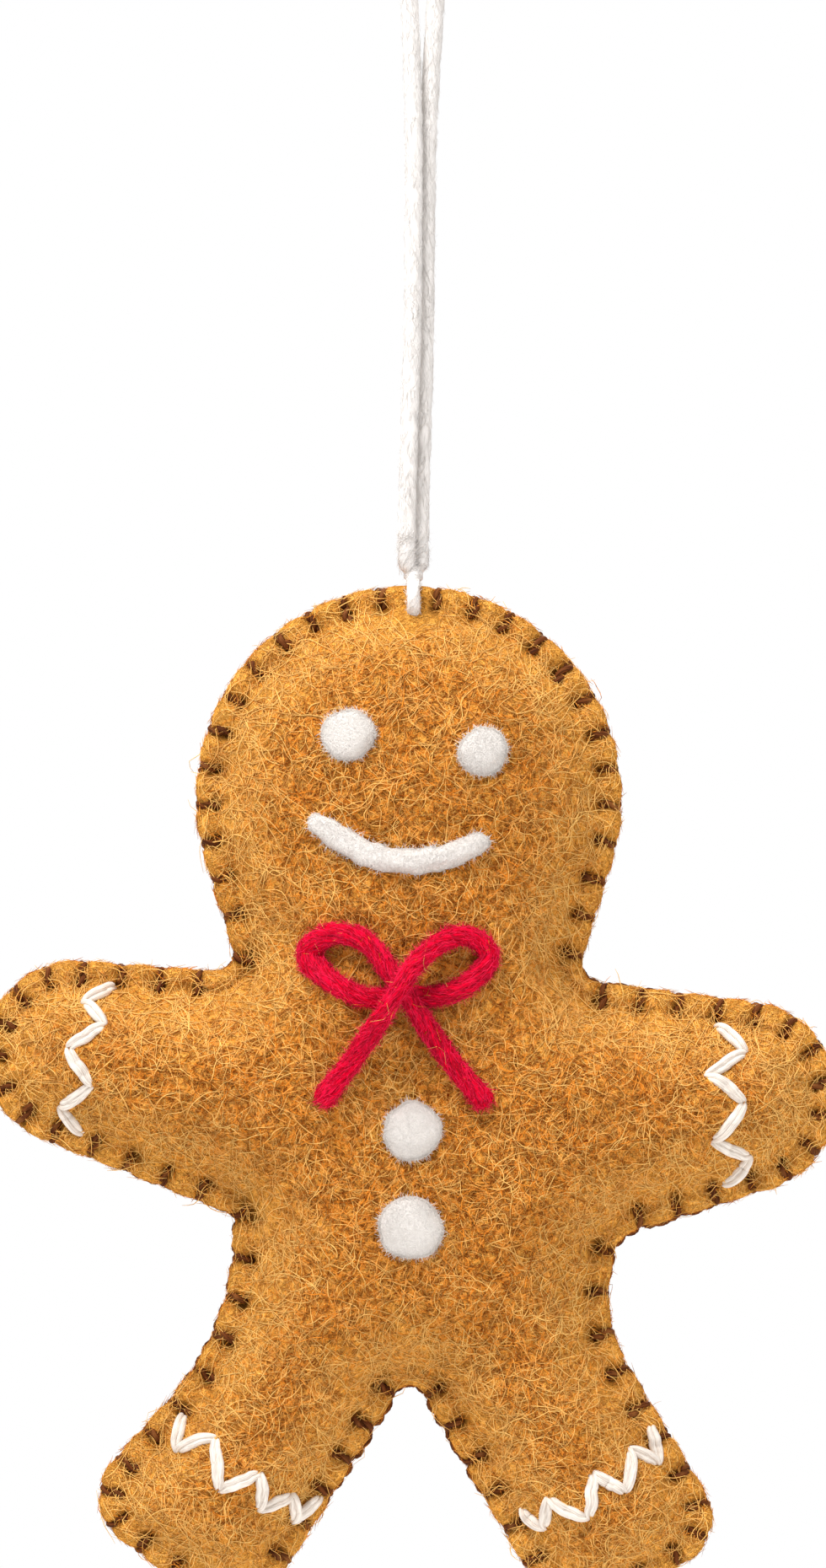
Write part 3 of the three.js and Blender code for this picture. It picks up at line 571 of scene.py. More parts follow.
class Limb:
    """The two sides of an arm or leg, each from its root to its end."""

    def __init__(self, x, z, angle, reach, root_width, end_width):
        root, along = complex(x, z), polar(angle)
        end = root + along * reach
        self.first, self.last = (
            [root + across * root_width / 2, end + across * end_width / 2]
            for across in (-1j * along, 1j * along))


LEFT_ARM = Limb(-20, -56.8, 167.1, 28.8, 26.7, 18)
RIGHT_ARM = Limb(20, -59.1, 5, 27.9, 29.5, 17.5)
LEFT_LEG = Limb(-11.9, -88.8, 232.8, 27.6, 19.3, 24.4)
RIGHT_LEG = Limb(12.3, -88.9, 300.9, 27.6, 21.5, 22)


def outline_corners():
    """Corners of the outline, counterclockwise from the top of the head, each with its rounding."""
    step = (180 - 2 * NECK_ANGLE) / HEAD_CORNERS
    radius = HEAD_RADIUS / math.cos(math.radians(step / 2))
    crown = [
        (HEAD_CENTRE + polar(NECK_ANGLE + step * (i + 0.5), radius), HEAD_RADIUS)
        for i in range(HEAD_CORNERS)]
    half = HEAD_CORNERS // 2

    def tangent(degrees):
        touch = HEAD_CENTRE + polar(degrees, HEAD_RADIUS)
        return touch, touch + polar(degrees + 90)

    return [
        *crown[half:],
        (meet(tangent(180 - NECK_ANGLE), LEFT_ARM.first), NECK_ROUND),
        (LEFT_ARM.first[1], 10.6), (LEFT_ARM.last[1], 10.6),
        (meet(LEFT_ARM.last, LEFT_SIDE), 1.5), (meet(LEFT_SIDE, LEFT_LEG.first), 27.9),
        (LEFT_LEG.first[1], 6), (LEFT_LEG.last[1], 6),
        (meet(LEFT_LEG.last, RIGHT_LEG.first), CROTCH_ROUND),
        (RIGHT_LEG.first[1], 6), (RIGHT_LEG.last[1], 5.8),
        (meet(RIGHT_LEG.last, RIGHT_SIDE), 15.6), (meet(RIGHT_SIDE, RIGHT_ARM.first), 3.2),
        (RIGHT_ARM.first[1], 10.8), (RIGHT_ARM.last[1], 10.8),
        (meet(RIGHT_ARM.last, tangent(NECK_ANGLE)), NECK_ROUND),
        *crown[:half],
    ]


def rounded(corners):
    """A closed line through corners with an arc at each, of points close together."""
    count = len(corners)
    at = [corner for corner, _ in corners]
    sides = [at[(i + 1) % count] - at[i] for i in range(count)]
    turns = [cmath.phase(sides[i] / sides[i - 1]) for i in range(count)]
    wanted = [corners[i][1] * math.tan(abs(turns[i]) / 2) for i in range(count)]
    line = []
    for i in range(count):
        fit = min(
            1, abs(sides[i - 1]) / (wanted[i - 1] + wanted[i]),
            abs(sides[i]) / (wanted[i] + wanted[(i + 1) % count]))
        reach = wanted[i] * fit
        way = sides[i - 1] / abs(sides[i - 1])
        spoke = 1j * way * math.copysign(reach / math.tan(abs(turns[i]) / 2), turns[i])
        centre = at[i] - way * reach + spoke
        line += [centre - spoke * cmath.exp(1j * turns[i] * k / ARC_STEPS) for k in range(ARC_STEPS + 1)]
    return np.array(line + line[:1])


EDGE_LINE = rounded(outline_corners())
EDGE_WAY = distances(EDGE_LINE)
EDGE_LENGTH = EDGE_WAY[-1]
EDGE_TURN = np.argmin(np.abs(EDGE_LINE - complex(HEAD_X, 0)))


def on_edge(way):
    """Places on the edge, by their way along it from the head's top."""
    way = (np.asarray(way) + EDGE_WAY[EDGE_TURN]) % EDGE_LENGTH
    return np.interp(way, EDGE_WAY, EDGE_LINE.real) + 1j * np.interp(way, EDGE_WAY, EDGE_LINE.imag)


def inward(way):
    step = 0.15
    along = on_edge(way + step) - on_edge(way - step)
    return 1j * along / np.abs(along)


STITCH_COUNT = 1 + round((EDGE_LENGTH - 2 * STITCH_START) / STITCH_PITCH)
STITCH_STEP = (EDGE_LENGTH - 2 * STITCH_START) / (STITCH_COUNT - 1)
STITCHES = STITCH_START + STITCH_STEP * np.arange(STITCH_COUNT)
FIELD_STEP = 0.6
FIELD_POINTS = on_edge(np.linspace(0, EDGE_LENGTH, round(EDGE_LENGTH / FIELD_STEP), endpoint=False))
SCALLOP = 0.36
PULLS = np.random.default_rng(28).uniform(0.5, 1.5, STITCH_COUNT)  # how hard each stitch draws the felt in


def nearest_stitch(way):
    return np.clip(np.round((way - STITCH_START) / STITCH_STEP), 0, STITCH_COUNT - 1).astype(int)


def from_stitch(way):
    """The way along the edge from the nearest stitch."""
    return way - STITCHES[nearest_stitch(way)]


def scallop(way):
    """How far the felt's edge is drawn in."""
    return SCALLOP * PULLS[nearest_stitch(way)] * np.exp(-(from_stitch(way) / 0.8) ** 2)


def felt_edge(way):
    return on_edge(way) + inward(way) * scallop(way)


RIM_STEP = 0.4
RIM_WAYS = np.linspace(0, EDGE_LENGTH, round(EDGE_LENGTH / RIM_STEP), endpoint=False)
RIM = felt_edge(RIM_WAYS)
RIM_LOW = complex(RIM.real.min(), RIM.imag.min())
RIM_HIGH = complex(RIM.real.max(), RIM.imag.max())
EDGE = on_edge(RIM_WAYS)
PART = 4000  # so many points are measured at a time


def in_parts(function):
    """Works through many points a part at a time."""
    def whole(points):
        points = np.atleast_1d(points)
        parts = [function(points[i:i + PART]) for i in range(0, len(points), PART)]
        return [np.concatenate(group) for group in zip(*parts)]
    return whole


@in_parts
def measured(points):
    """Smooth depth, distance from the felt's rim, distance from the even edge, and way along it."""
    gaps = np.abs(points[:, None] - FIELD_POINTS)
    depth = 1 / np.sqrt((EDGE_LENGTH / len(FIELD_POINTS) / (2 * np.maximum(gaps, 0.05) ** 3)).sum(axis=1))
    rim = np.abs(points[:, None] - RIM).min(axis=1)
    apart = np.abs(points[:, None] - EDGE)
    nearest = apart.argmin(axis=1)
    return [depth, rim, apart[np.arange(len(points)), nearest], RIM_WAYS[nearest]]


def crown(depth):
    share = np.clip((depth - SEAM_WIDTH) / (CROWN_REACH - SEAM_WIDTH), 0, 1)
    return CROWN_HEIGHT * np.sin(share * math.pi / 2) + CROWN_FULLNESS * smooth(7.5, 15, depth)


LUMPS = [(field(21, 11), 0.22), (field(22, 4.2), 0.12), (field(23, 1.9), 0.09), (field(24, 1.1), 0.06)]
EDGE_ROUND = 1.1
SEAM_ROUND = 0.7
GROOVE = 0.6
GROOVE_WIDTH = 0.62
PIT = 0.45
PIT_WIDTH = 0.6
LOBE = 0.35
DEEPEST = 0.9  # of a groove and its hole together
FACE_APART = 40.0  # reads the random fields away from each other, so that the two faces differ


def felt_height(points, side, sewn=1, known=None, lumps=LUMPS):
    """How far the felt's outer face lies from the seam's middle plane; side is -1 at the front."""
    depth, rim, edge, way = measured(points) if known is None else known
    u = from_stitch(way)
    inside = smooth(0, 1.5, rim)
    spots = in_space(points, FACE_APART * side)
    groove = GROOVE * np.exp(-(u / GROOVE_WIDTH) ** 2) * (1 - smooth(STITCH_BITE, STITCH_BITE + 0.9, edge))
    pit = PIT * np.exp(-(u ** 2 + (edge - STITCH_BITE) ** 2) / PIT_WIDTH ** 2)
    lobe = LOBE * np.sin(np.pi * np.clip(np.abs(u) / STITCH_STEP, 0, 0.5)) ** 2
    lobe = lobe * (1 - smooth(2.2, 4.6, edge))
    rounding = 0.5 + 0.5 * quarter(rim / EDGE_ROUND)
    height = SEAM_GAP / 2 + FELT_THICKNESS * rounding + crown(depth + CROWN_LEAD)
    lumpy = sum(amount * lump(spots) for lump, amount in lumps)
    lumpy = lumpy + PRESSED.look_up(PRESSURE[side], points)
    return height + inside * (lumpy + lobe) - sewn * np.minimum(groove + pit, DEEPEST) * smooth(0, 0.5, rim)


def sewn_shade(known):
    """Painted shade in the stitches' holes and in the grooves where the felt is drawn in, from 0 to 1."""
    _, _, edge, way = known
    u = from_stitch(way)
    hole = np.exp(-(u ** 2 + (edge - STITCH_BITE) ** 2) / 0.8 ** 2)
    groove = np.exp(-(u / 0.6) ** 2) * (1 - smooth(STITCH_BITE, STITCH_BITE + 0.8, edge))
    return np.clip(hole + 0.75 * groove, 0, 1)


def near_rim(distance):
    """How much painted light the felt gets near its rim, from 0 to 1, for the brighter light on faces that
    turn to the sides.
    """
    return 1 - smooth(2, 11, distance)


def from_rim(points, known):
    """Distance from the felt's rim, below 0 outside it."""
    _, rim, _, way = known
    return np.where(((points - on_edge(way)) * np.conj(inward(way))).real > 0, rim, -rim)


def placed(points, heights):
    """Places of the whole model from points of the figure's plane and their y."""
    return in_space(points, heights) + FIGURE


def flat_mesh(pitch, step=1, insets=(0.08, 0.25, 0.5, 0.8, 1.15)):
    """Triangles over the figure: rings near the rim and a staggered grid inside."""
    ways = RIM_WAYS[::step]
    rings = [RIM[::step]] + [on_edge(ways) + inward(ways) * (scallop(ways) * (1 - d / 3) + d) for d in insets]
    row = pitch * math.sqrt(3) / 2
    size = RIM_HIGH - RIM_LOW
    j, i = np.mgrid[0:math.ceil(size.imag / row), 0:math.ceil(size.real / pitch)]
    grid = RIM_LOW + ((i + 0.5 * (j % 2)) * pitch + 1j * (j + 0.5) * row).ravel()
    grid = grid[from_rim(grid, measured(grid)) > max(insets, default=0) + pitch / 2]
    points = np.concatenate(rings + [grid])
    vertices, _, faces, *_ = geometry.delaunay_2d_cdt(
        [Vector((p.real, p.imag)) for p in points], [], [list(range(len(ways)))], 1, 1e-6)
    points = np.array([complex(v.x, v.y) for v in vertices])
    return points, np.array(faces)


class Plan:
    """A grid over the figure's plane, for tables of values."""

    def __init__(self, pitch):
        margin = complex(3, 3)
        self.pitch = pitch
        self.low, self.high = RIM_LOW - margin, RIM_HIGH + margin
        size = self.high - self.low
        self.rows, self.columns = math.ceil(size.imag / pitch) + 1, math.ceil(size.real / pitch) + 1
        j, i = np.indices((self.rows, self.columns)).reshape(2, -1)
        self.points = self.low + (i + 1j * j) * pitch

    def look_up(self, table, points):
        at = (points - self.low) / self.pitch
        i = np.clip(at.real.astype(int), 0, self.columns - 2)
        j = np.clip(at.imag.astype(int), 0, self.rows - 2)
        u, v = at.real - i, at.imag - j
        corner = j * self.columns + i
        below = table[corner] * (1 - u) + table[corner + 1] * u
        above = table[corner + self.columns] * (1 - u) + table[corner + self.columns + 1] * u
        return below * (1 - v) + above * v


# Pressure of the filling, by a cloth simulation of both panels sewn together

PRESSED = Plan(1.0)
PRESSED_SCALE = 4  # the cloth solver is steadier on a larger mesh
PRESSED_PITCH = 2.2
PRESSED_RIM = 5  # so many steps of the felt's rim make one of the simulated rim
PRESSED_FRAMES = 20
PRESSED_START = 0.94  # the crown that the simulation starts from, as a share of the whole
PRESSED_CAP = 0.4
PRESSED_REACH = 1.6  # over which the result is evened out
PRESSED_CLOTH = dict(
    quality=8, mass=0.3, tension_stiffness=20, compression_stiffness=20, shear_stiffness=10,
    bending_stiffness=5, shrink_min=-0.015, use_pressure=True, uniform_pressure_force=4,
    vertex_group_mass="seam")


def pressed():
    """How far the pressure moves each face out, as tables."""
    points, faces = flat_mesh(PRESSED_PITCH, step=PRESSED_RIM, insets=())
    known = measured(points)
    depth, rim, _, _ = known
    count = len(points)
    sewn = np.arange(count) < len(RIM_WAYS[::PRESSED_RIM])
    level = PRESSED_START * crown(depth + CROWN_LEAD) + smooth(0, 2, rim) * FELT_THICKNESS
    flat = in_space(points)
    front, back = (
        flat + [[0, side, 0]] * (level + smooth(2, 6, rim) * 0.4 * wads(flat))[:, None]
        for side, wads in ((-1, field(26, 13)), (1, field(27, 13))))
    back_of = np.where(sewn, np.arange(count), np.cumsum(~sewn) - 1 + count)
    vertices = np.vstack([np.where(sewn[:, None], flat, front), back[~sewn]]) * PRESSED_SCALE
    pad = new_piece("pressed_pad", vertices, [faces, back_of[faces][:, ::-1]], FELT)
    held = np.concatenate([rim, rim[~sewn]]) < SEAM_WIDTH
    pad.vertex_groups.new(name="seam").add(np.flatnonzero(held).tolist(), 1.0, "REPLACE")
    cloth = pad.modifiers.new("cloth", "CLOTH")
    for key, value in PRESSED_CLOTH.items():
        setattr(cloth.settings, key, value)
    cloth.settings.effector_weights.gravity = 0
    cloth.collision_settings.use_collision = False
    cloth.point_cache.frame_end = PRESSED_FRAMES
    scene = bpy.context.scene
    for number in range(1, PRESSED_FRAMES + 1):
        scene.frame_set(number)
    evaluated = pad.evaluated_get(bpy.context.evaluated_depsgraph_get()).data.vertices
    moved = np.empty(3 * len(vertices), dtype=np.float32)
    evaluated.foreach_get("co", moved)
    moved = moved.reshape(-1, 3).astype(float) / (PRESSED_SCALE * MM)
    scene.frame_set(1)
    bpy.data.objects.remove(pad)
    tables = {}
    for side, part in ((-1, np.arange(count)), (1, back_of)):
        at = moved[part, 0] + 1j * moved[part, 2]
        depth, rim, _, _ = measured(at)
        out = np.abs(moved[part, 1]) - crown(depth + CROWN_LEAD) - FELT_THICKNESS
        out = np.where(rim < SEAM_WIDTH, 0, out)
        near = [
            np.exp(-np.abs(rows[:, None] - at) ** 2 / PRESSED_REACH ** 2)
            for rows in np.array_split(PRESSED.points, 16)]
        table = np.concatenate([(share * out).sum(axis=1) / (share.sum(axis=1) + 1e-3) for share in near])
        tables[side] = PRESSED_CAP * np.tanh(table / PRESSED_CAP)
    return tables


PRESSURE = pressed()


# Panels of felt

WADS = ["stuffing_" + part for part in ("head", "torso", "arm_left", "arm_right", "leg_left", "leg_right")]
FELT_PITCH = 0.5


def felt_panel(name, side, *nodes):
    """A panel of the felt, over its share of the filling."""
    outer, faces = flat_mesh(FELT_PITCH)
    known = measured(outer)
    heights = felt_height(outer, side, known=known)
    count = len(outer)
    depth, rim, _, _ = known
    inner = SEAM_GAP / 2 + crown(depth) + FELT_THICKNESS / 2 * (1 - quarter(rim / SEAM_ROUND))
    on_rim = rim < 1e-3
    heights[on_rim] = (SEAM_GAP + FELT_THICKNESS) / 2
    index = np.arange(count) + np.where(on_rim, 0, count)
    vertices = np.vstack([placed(outer, side * heights), placed(outer, side * np.minimum(inner, heights))])
    outward = faces if side < 0 else faces[:, ::-1]
    back = index[outward][:, ::-1]
    shade = sewn_shade(known)
    # the attributes carry painted shade at the stitches and painted light near the rim
    piece = new_piece(
        name, vertices, [outward, back], FELT, dark=np.concatenate([shade, 0 * shade]),
        near_rim=np.tile(near_rim(rim), 2))
    attach(piece, "felt", *nodes)


felt_panel("felt_front", -1, "front_panel", *WADS)
felt_panel("felt_back", 1, "back_panel")


# Loose fibres of the felt

ANCHOR_RADIUS = 0.72
ANCHOR_BITE = 3.2
ANCHOR_TOP = 4
ANCHOR_CLEARANCE = 1.7  # so that no fibre crosses the anchor stitch, also where the figure swings
ANCHOR_RIM_CLEARANCE = 2.2
RIM_FIBRE_COUNT = 3600


def from_anchor(points):
    """Distance from the anchor stitch over the head's top."""
    return np.abs(points - 1j * np.clip(points.imag, -ANCHOR_BITE, ANCHOR_TOP))


class Faces(Plan):
    """Both outer faces of the felt as tables over the figure's plane, level over the stitches."""

    def __init__(self, pitch):
        super().__init__(pitch)
        known = measured(self.points)
        self.rim = from_rim(self.points, known)
        self.sewn = sewn_shade(known)
        level = (SEAM_GAP + FELT_THICKNESS) / 2
        self.heights = {
            side: np.where(self.rim > 0, felt_height(self.points, side, 0, known), level) for side in (-1, 1)}

    def fibres(self, name, side, count, rng, rings, length, thickness, lift, shade):
        """Fibres that wander over the felt; each pair of values is a range."""
        draw = lambda low, high: rng.uniform(low, high, (count, 1))
        x = rng.uniform(self.low.real, self.high.real, 4 * count)
        start = x + 1j * rng.uniform(self.low.imag, self.high.imag, 4 * count)
        start = start[self.look_up(self.rim, start) > 0][:count, None]
        t = np.linspace(-0.5, 0.5, rings)
        size = draw(*length)
        wave = draw(0, 0.7) * np.sin(TURN * (size * t / draw(2.2, 5) + draw(0, 1)))
        heading = draw(0, TURN) + rng.normal(0, 0.28, (count, 1)) * size * t + wave
        steps = size / (rings - 1) * np.exp(1j * heading)
        path = start + np.cumsum(steps, axis=1) - steps.sum(axis=1, keepdims=True) / 2
        overhang = self.look_up(self.rim, path).min(axis=1)
        height = self.look_up(self.heights[side], path) + draw(*lift)
        height = height + draw(0, 0.08) * np.sin(TURN * (t + draw(0, 1))) - 0.12 * (2 * t) ** 4
        centres = placed(path.ravel(), side * height.ravel()).reshape(count, rings, 3)
        over_hole = self.look_up(self.sewn, path).max(axis=1)
        kept = (overhang > -rng.exponential(0.3, count)) & (rng.uniform(size=count) > 0.55 * over_hole)
        kept &= from_anchor(path).min(axis=1) > ANCHOR_CLEARANCE
        # painted light on fibres near the rim, and painted shade towards each fibre's ends, where it sinks
        # into the felt
        painted_light_and_shade = 0.42 * near_rim(self.look_up(self.rim, start)) - 0.25 * (2 * t) ** 2
        slivers(
            name, "felt", centres[kept], (0, side, 0), draw(*thickness)[kept, None], FELT_FIBRE,
            np.clip(draw(*shade) + painted_light_and_shade, 0, 1)[kept])


def felt_fibres():
    rng = np.random.default_rng(31)
    faces = Faces(pitch=0.4)
    share = 1
    # shade is a random tone for each fibre; the low mat is also darker and the raised loose fibres paler, as
    # painted shade and light by height
    mat = dict(rings=6, length=(1.2, 3.2), thickness=(0.03, 0.055), lift=(-0.04, 0.04), shade=(0.0, 0.8))
    loose = dict(rings=9, length=(2.5, 8.0), thickness=(0.03, 0.07), lift=(0.03, 0.24), shade=(0.4, 1.1))
    for name, side, kind, parts, count in (
            ("felt_mat_front", -1, mat, 4, 5200), ("felt_loose_front", -1, loose, 3, 3900),
            ("felt_mat_back", 1, mat, 2, 5500), ("felt_loose_back", 1, loose, 2, 3300)):
        for part in range(parts):
            faces.fibres(f"{name}_{part + 1}", side, round(count * share), rng, **kind)


def rim_fibres():
    """Fibres that stand out of the felt's cut edge."""
    rng = np.random.default_rng(33)
    way = rng.uniform(0, EDGE_LENGTH, RIM_FIBRE_COUNT)
    way = way[from_anchor(felt_edge(way)) > ANCHOR_RIM_CLEARANCE]
    count = len(way)
    base, into = felt_edge(way), inward(way)
    level = rng.uniform(SEAM_GAP / 2, 1.3, count) * rng.choice([-1, 1], count)
    spots = placed(base + 0.15 * into, level), in_space(-into), in_space(-1j * into)
    fuzz(
        "felt_rim_fibres", "felt", spots, FELT_FIBRE, rng, length=(0.9, 2.6), thickness=(0.025, 0.045),
        lift=(0.0, 0.15), free=(0.0, 0.22), curl=(0.0, 1.5), spread=0.8)


felt_fibres()
rim_fibres()


# Edge thread in blanket stitch

THREAD_STRAND = 0.33
THREAD_SPREAD = 0.29
THREAD_PITCH = 3.6
THREAD_STEP = 0.3
BODY_CENTRE = complex(0, -70)  # the seam opens a little round it, where the outline turns in


def edge_thread():
    rng = np.random.default_rng(61)
    drift = field(62, 30)
    spots = []  # points of the plane, each with its y
    for i, way in enumerate(STITCHES):
        base, into = complex(on_edge(way)), complex(inward(way))
        along = -1j * into
        for side in (-1, 1):
            bite = rng.uniform(STITCH_BITE - 0.3, STITCH_BITE + 0.5)
            lean = along * rng.uniform(-0.35, 0.35)
            sunk = rng.uniform(-0.12, 0.1)
            bar = base + into * np.array([SCALLOP + 0.45, 1.6, bite])
            bar = bar + lean * np.array([0.2, 0.6, 1]) + along * 0.15 * side
            height = felt_height(bar, side)
            over = [
                (base + into * (SCALLOP + 0.45) + along * 0.3 * side, 0),
                (base + into * (SCALLOP + 0.2) + along * 0.2 * side, side * 1.1),
                *((bar[k], side * (height[k] + rise + sunk)) for k, rise in enumerate((0.1, 0.16, 0.1))),
                (bar[2] + into * 0.25, side * (height[2] - 0.9)),
            ]
            spots += over if side < 0 else over[::-1]
        if i + 1 < STITCH_COUNT:
            for share in (0.2, 0.5, 0.8):
                at = way + share * STITCH_STEP
                base = complex(on_edge(at))
                inset = 0.4 + 0.55 * smooth(28, 42, abs(base - BODY_CENTRE))
                inset += 0.12 * float(drift(np.array([base.real, 0, base.imag])))
                spots.append((base + complex(inward(at)) * inset, 0))
    points, levels = np.array(spots).T
    route = curve(placed(points, levels.real), THREAD_STEP)
    tubes = Tubes()
    plies(tubes, route, 2, THREAD_SPREAD, THREAD_STRAND, pitch=THREAD_PITCH, sides=8)
    tubes.piece("edge_thread_two_ply", "brown_thread", "edge_thread", BROWN_THREAD)


edge_thread()


# Needle-felted dots and mouth

FACE_TILT = -7
EYE_SPACING = 15.2
EYE_RISE = 6.25
DOT_RINGS = 18
DOT_SIDES = 72
WOOL_FUZZ_COUNT = 6500
WOOL_RIM_COUNT = 320


def on_face(across, up):
    return HEAD_CENTRE + polar(FACE_TILT, across) + polar(FACE_TILT + 90, up)


def felted(node, around, plan, height, seed):
    """A low form felted to the front; plan gives its outline at each share of the way out."""
    name, count, rings = node + "_felted", DOT_SIDES, DOT_RINGS
    share = np.repeat(np.linspace(0.04, 1, rings), count)
    points = plan(share, np.tile(around, rings))
    rise = height * np.clip(1 - share ** 2.6, 0, 1) ** 0.5
    face = felt_height(points, -1, lumps=LUMPS[:2])
    x, z = ((part - part.mean()) / np.ptp(part) for part in (points.real, points.imag))
    terms = np.column_stack([x ** i * z ** j for i in range(5) for j in range(3)])
    smoothed = terms @ np.linalg.lstsq(terms, face, rcond=None)[0]
    top = smoothed + (face - smoothed) * share ** 4 + rise
    vertices = np.vstack([placed(points, -top), placed(points, -np.minimum(face - 0.4, top - 0.1))])
    front_faces = band(rings, count)
    shift = rings * count
    edge = front_faces[-count:, [3, 2]]
    wall = np.column_stack([edge, edge[:, ::-1] + shift])
    hubs = np.array([np.arange(count)[::-1], np.arange(count) + shift])
    faces = [np.vstack([front_faces, front_faces[:, ::-1] + shift, wall]), hubs]
    attach(new_piece(name, vertices, faces, WHITE_WOOL), "white_wool", node)
    rng = np.random.default_rng(seed)
    fuzz(
        name + "_fuzz", "white_wool", scatter(vertices, [front_faces, wall], WOOL_FUZZ_COUNT, rng),
        WOOL_FIBRE, rng, length=(0.4, 1.1), thickness=(0.02, 0.04), lift=(-0.03, 0.03), free=(0.0, 0.08),
        curl=(0.0, 1.2))
    rng = np.random.default_rng(seed + 100)
    at = rng.integers(0, count, WOOL_RIM_COUNT) + (rings - 2) * count
    outward = unit(vertices[at] - vertices[at - 4 * count])
    spots = vertices[at], np.tile([0.0, -1.0, 0.0], (WOOL_RIM_COUNT, 1)), outward
    fuzz(
        name + "_rim", "white_wool", spots, WOOL_FIBRE, rng, length=(0.4, 1.5), thickness=(0.02, 0.035),
        lift=(0.0, 0.2), free=(-0.1, 0.0), curl=(0.0, 1.8), spread=1.6)


def dot(node, centre, radius, height, seed):
    rng = np.random.default_rng(seed)
    phases = rng.uniform(0, TURN, 7)

    def plan(share, angles):
        waves = (0.03 / (k + 1) ** 0.8 * np.cos((k + 2) * angles + phase) for k, phase in enumerate(phases))
        return centre + radius * share * (1 + sum(waves)) * np.exp(1j * angles)

    felted(node, TURN * np.arange(DOT_SIDES) / DOT_SIDES, plan, height, seed)


dot("eye_left", on_face(-EYE_SPACING / 2, EYE_RISE), 2.95, 1.3, 41)
dot("eye_right", on_face(EYE_SPACING / 2, EYE_RISE), 2.75, 1.3, 42)
dot("button_upper", complex(-0.1, -61.1), 3.3, 1.5, 43)
dot("button_lower", complex(-0.3, -71.9), 3.6, 1.5, 44)

MOUTH_X = -0.6
MOUTH_WIDTH = 18.7
MOUTH_SAG = 3.2
MOUTH_DROP = 3.8
MOUTH_RADIUS = 1.45
MOUTH_HEIGHT = 1.3


def mouth():
    half = MOUTH_WIDTH / 2 - 0.7
    right = half + MOUTH_RADIUS * np.exp(1j * np.linspace(-math.pi / 2, math.pi / 2, 40))
    line = np.concatenate([right, -right.conj()[::-1], right[:1]])
    way = distances(line)
    at = np.linspace(0, way[-1], DOT_SIDES, endpoint=False)
    ring = np.interp(at, way, line.real) + 1j * np.interp(at, way, line.imag)
    rough = field(47, 2.4)

    def plan(share, ring):
        spine = np.clip(ring.real, -half, half)
        flat = spine + share * (ring - spine)
        at = flat.real + MOUTH_X
        reach = flat.real / (MOUTH_WIDTH / 2)
        middle = -MOUTH_DROP - MOUTH_SAG * (1 - reach ** 2)
        slope = 2 * MOUTH_SAG * flat.real / (MOUTH_WIDTH / 2) ** 2
        normal = (1j - slope) / np.abs(1j - slope)
        wide = 1 + 0.09 * rough(in_space(flat)) - 0.1 * np.clip(reach, 0, 1)
        return HEAD_CENTRE + polar(FACE_TILT) * (at + 1j * middle + normal * flat.imag * wide)

    felted("mouth", ring, plan, MOUTH_HEIGHT, 45)


mouth()


# Bow of yarn

BOW_CENTRE = complex(-1.1, -46)
BOW_HEIGHT = 6.9
LEFT_LOOP = -10.2
RIGHT_LOOP = 9.4
LEFT_TAIL = complex(-9.2, -12)
RIGHT_TAIL = complex(9.3, -12)
BOW_STRANDS = 6
BOW_STRAND = 0.45
BOW_SPREAD = 0.65
BOW_STEP = 0.18
BOW_FUZZ_COUNT = 7000
CAUGHT_COUNT = 110
YARN_THICKNESS = 2.1
YARN_LEVEL = 0.76
TAIL_LIFT = -0.45  # the ends are drawn into the felt
TAIL_LEVEL = 0.84  # how much of a tail lies on the felt
LOOP_SHARES = [  # of a loop's width and the bow's height
    (0.13, 0.4), (0.44, 0.9), (0.78, 0.98), (1, 0.62), (0.8, 0.2), (0.42, -0.02)]


def over_front(points, heights):
    """Places over the front felt, at heights square to its smooth face."""
    face = lambda at: felt_height(at, -1, 0)
    slopes = sum(way * (face(points + way / 2) - face(points - way / 2)) for way in (1, 1j))
    return placed(points, -face(points)) + unit(in_space(-slopes, -1)) * heights[:, None]


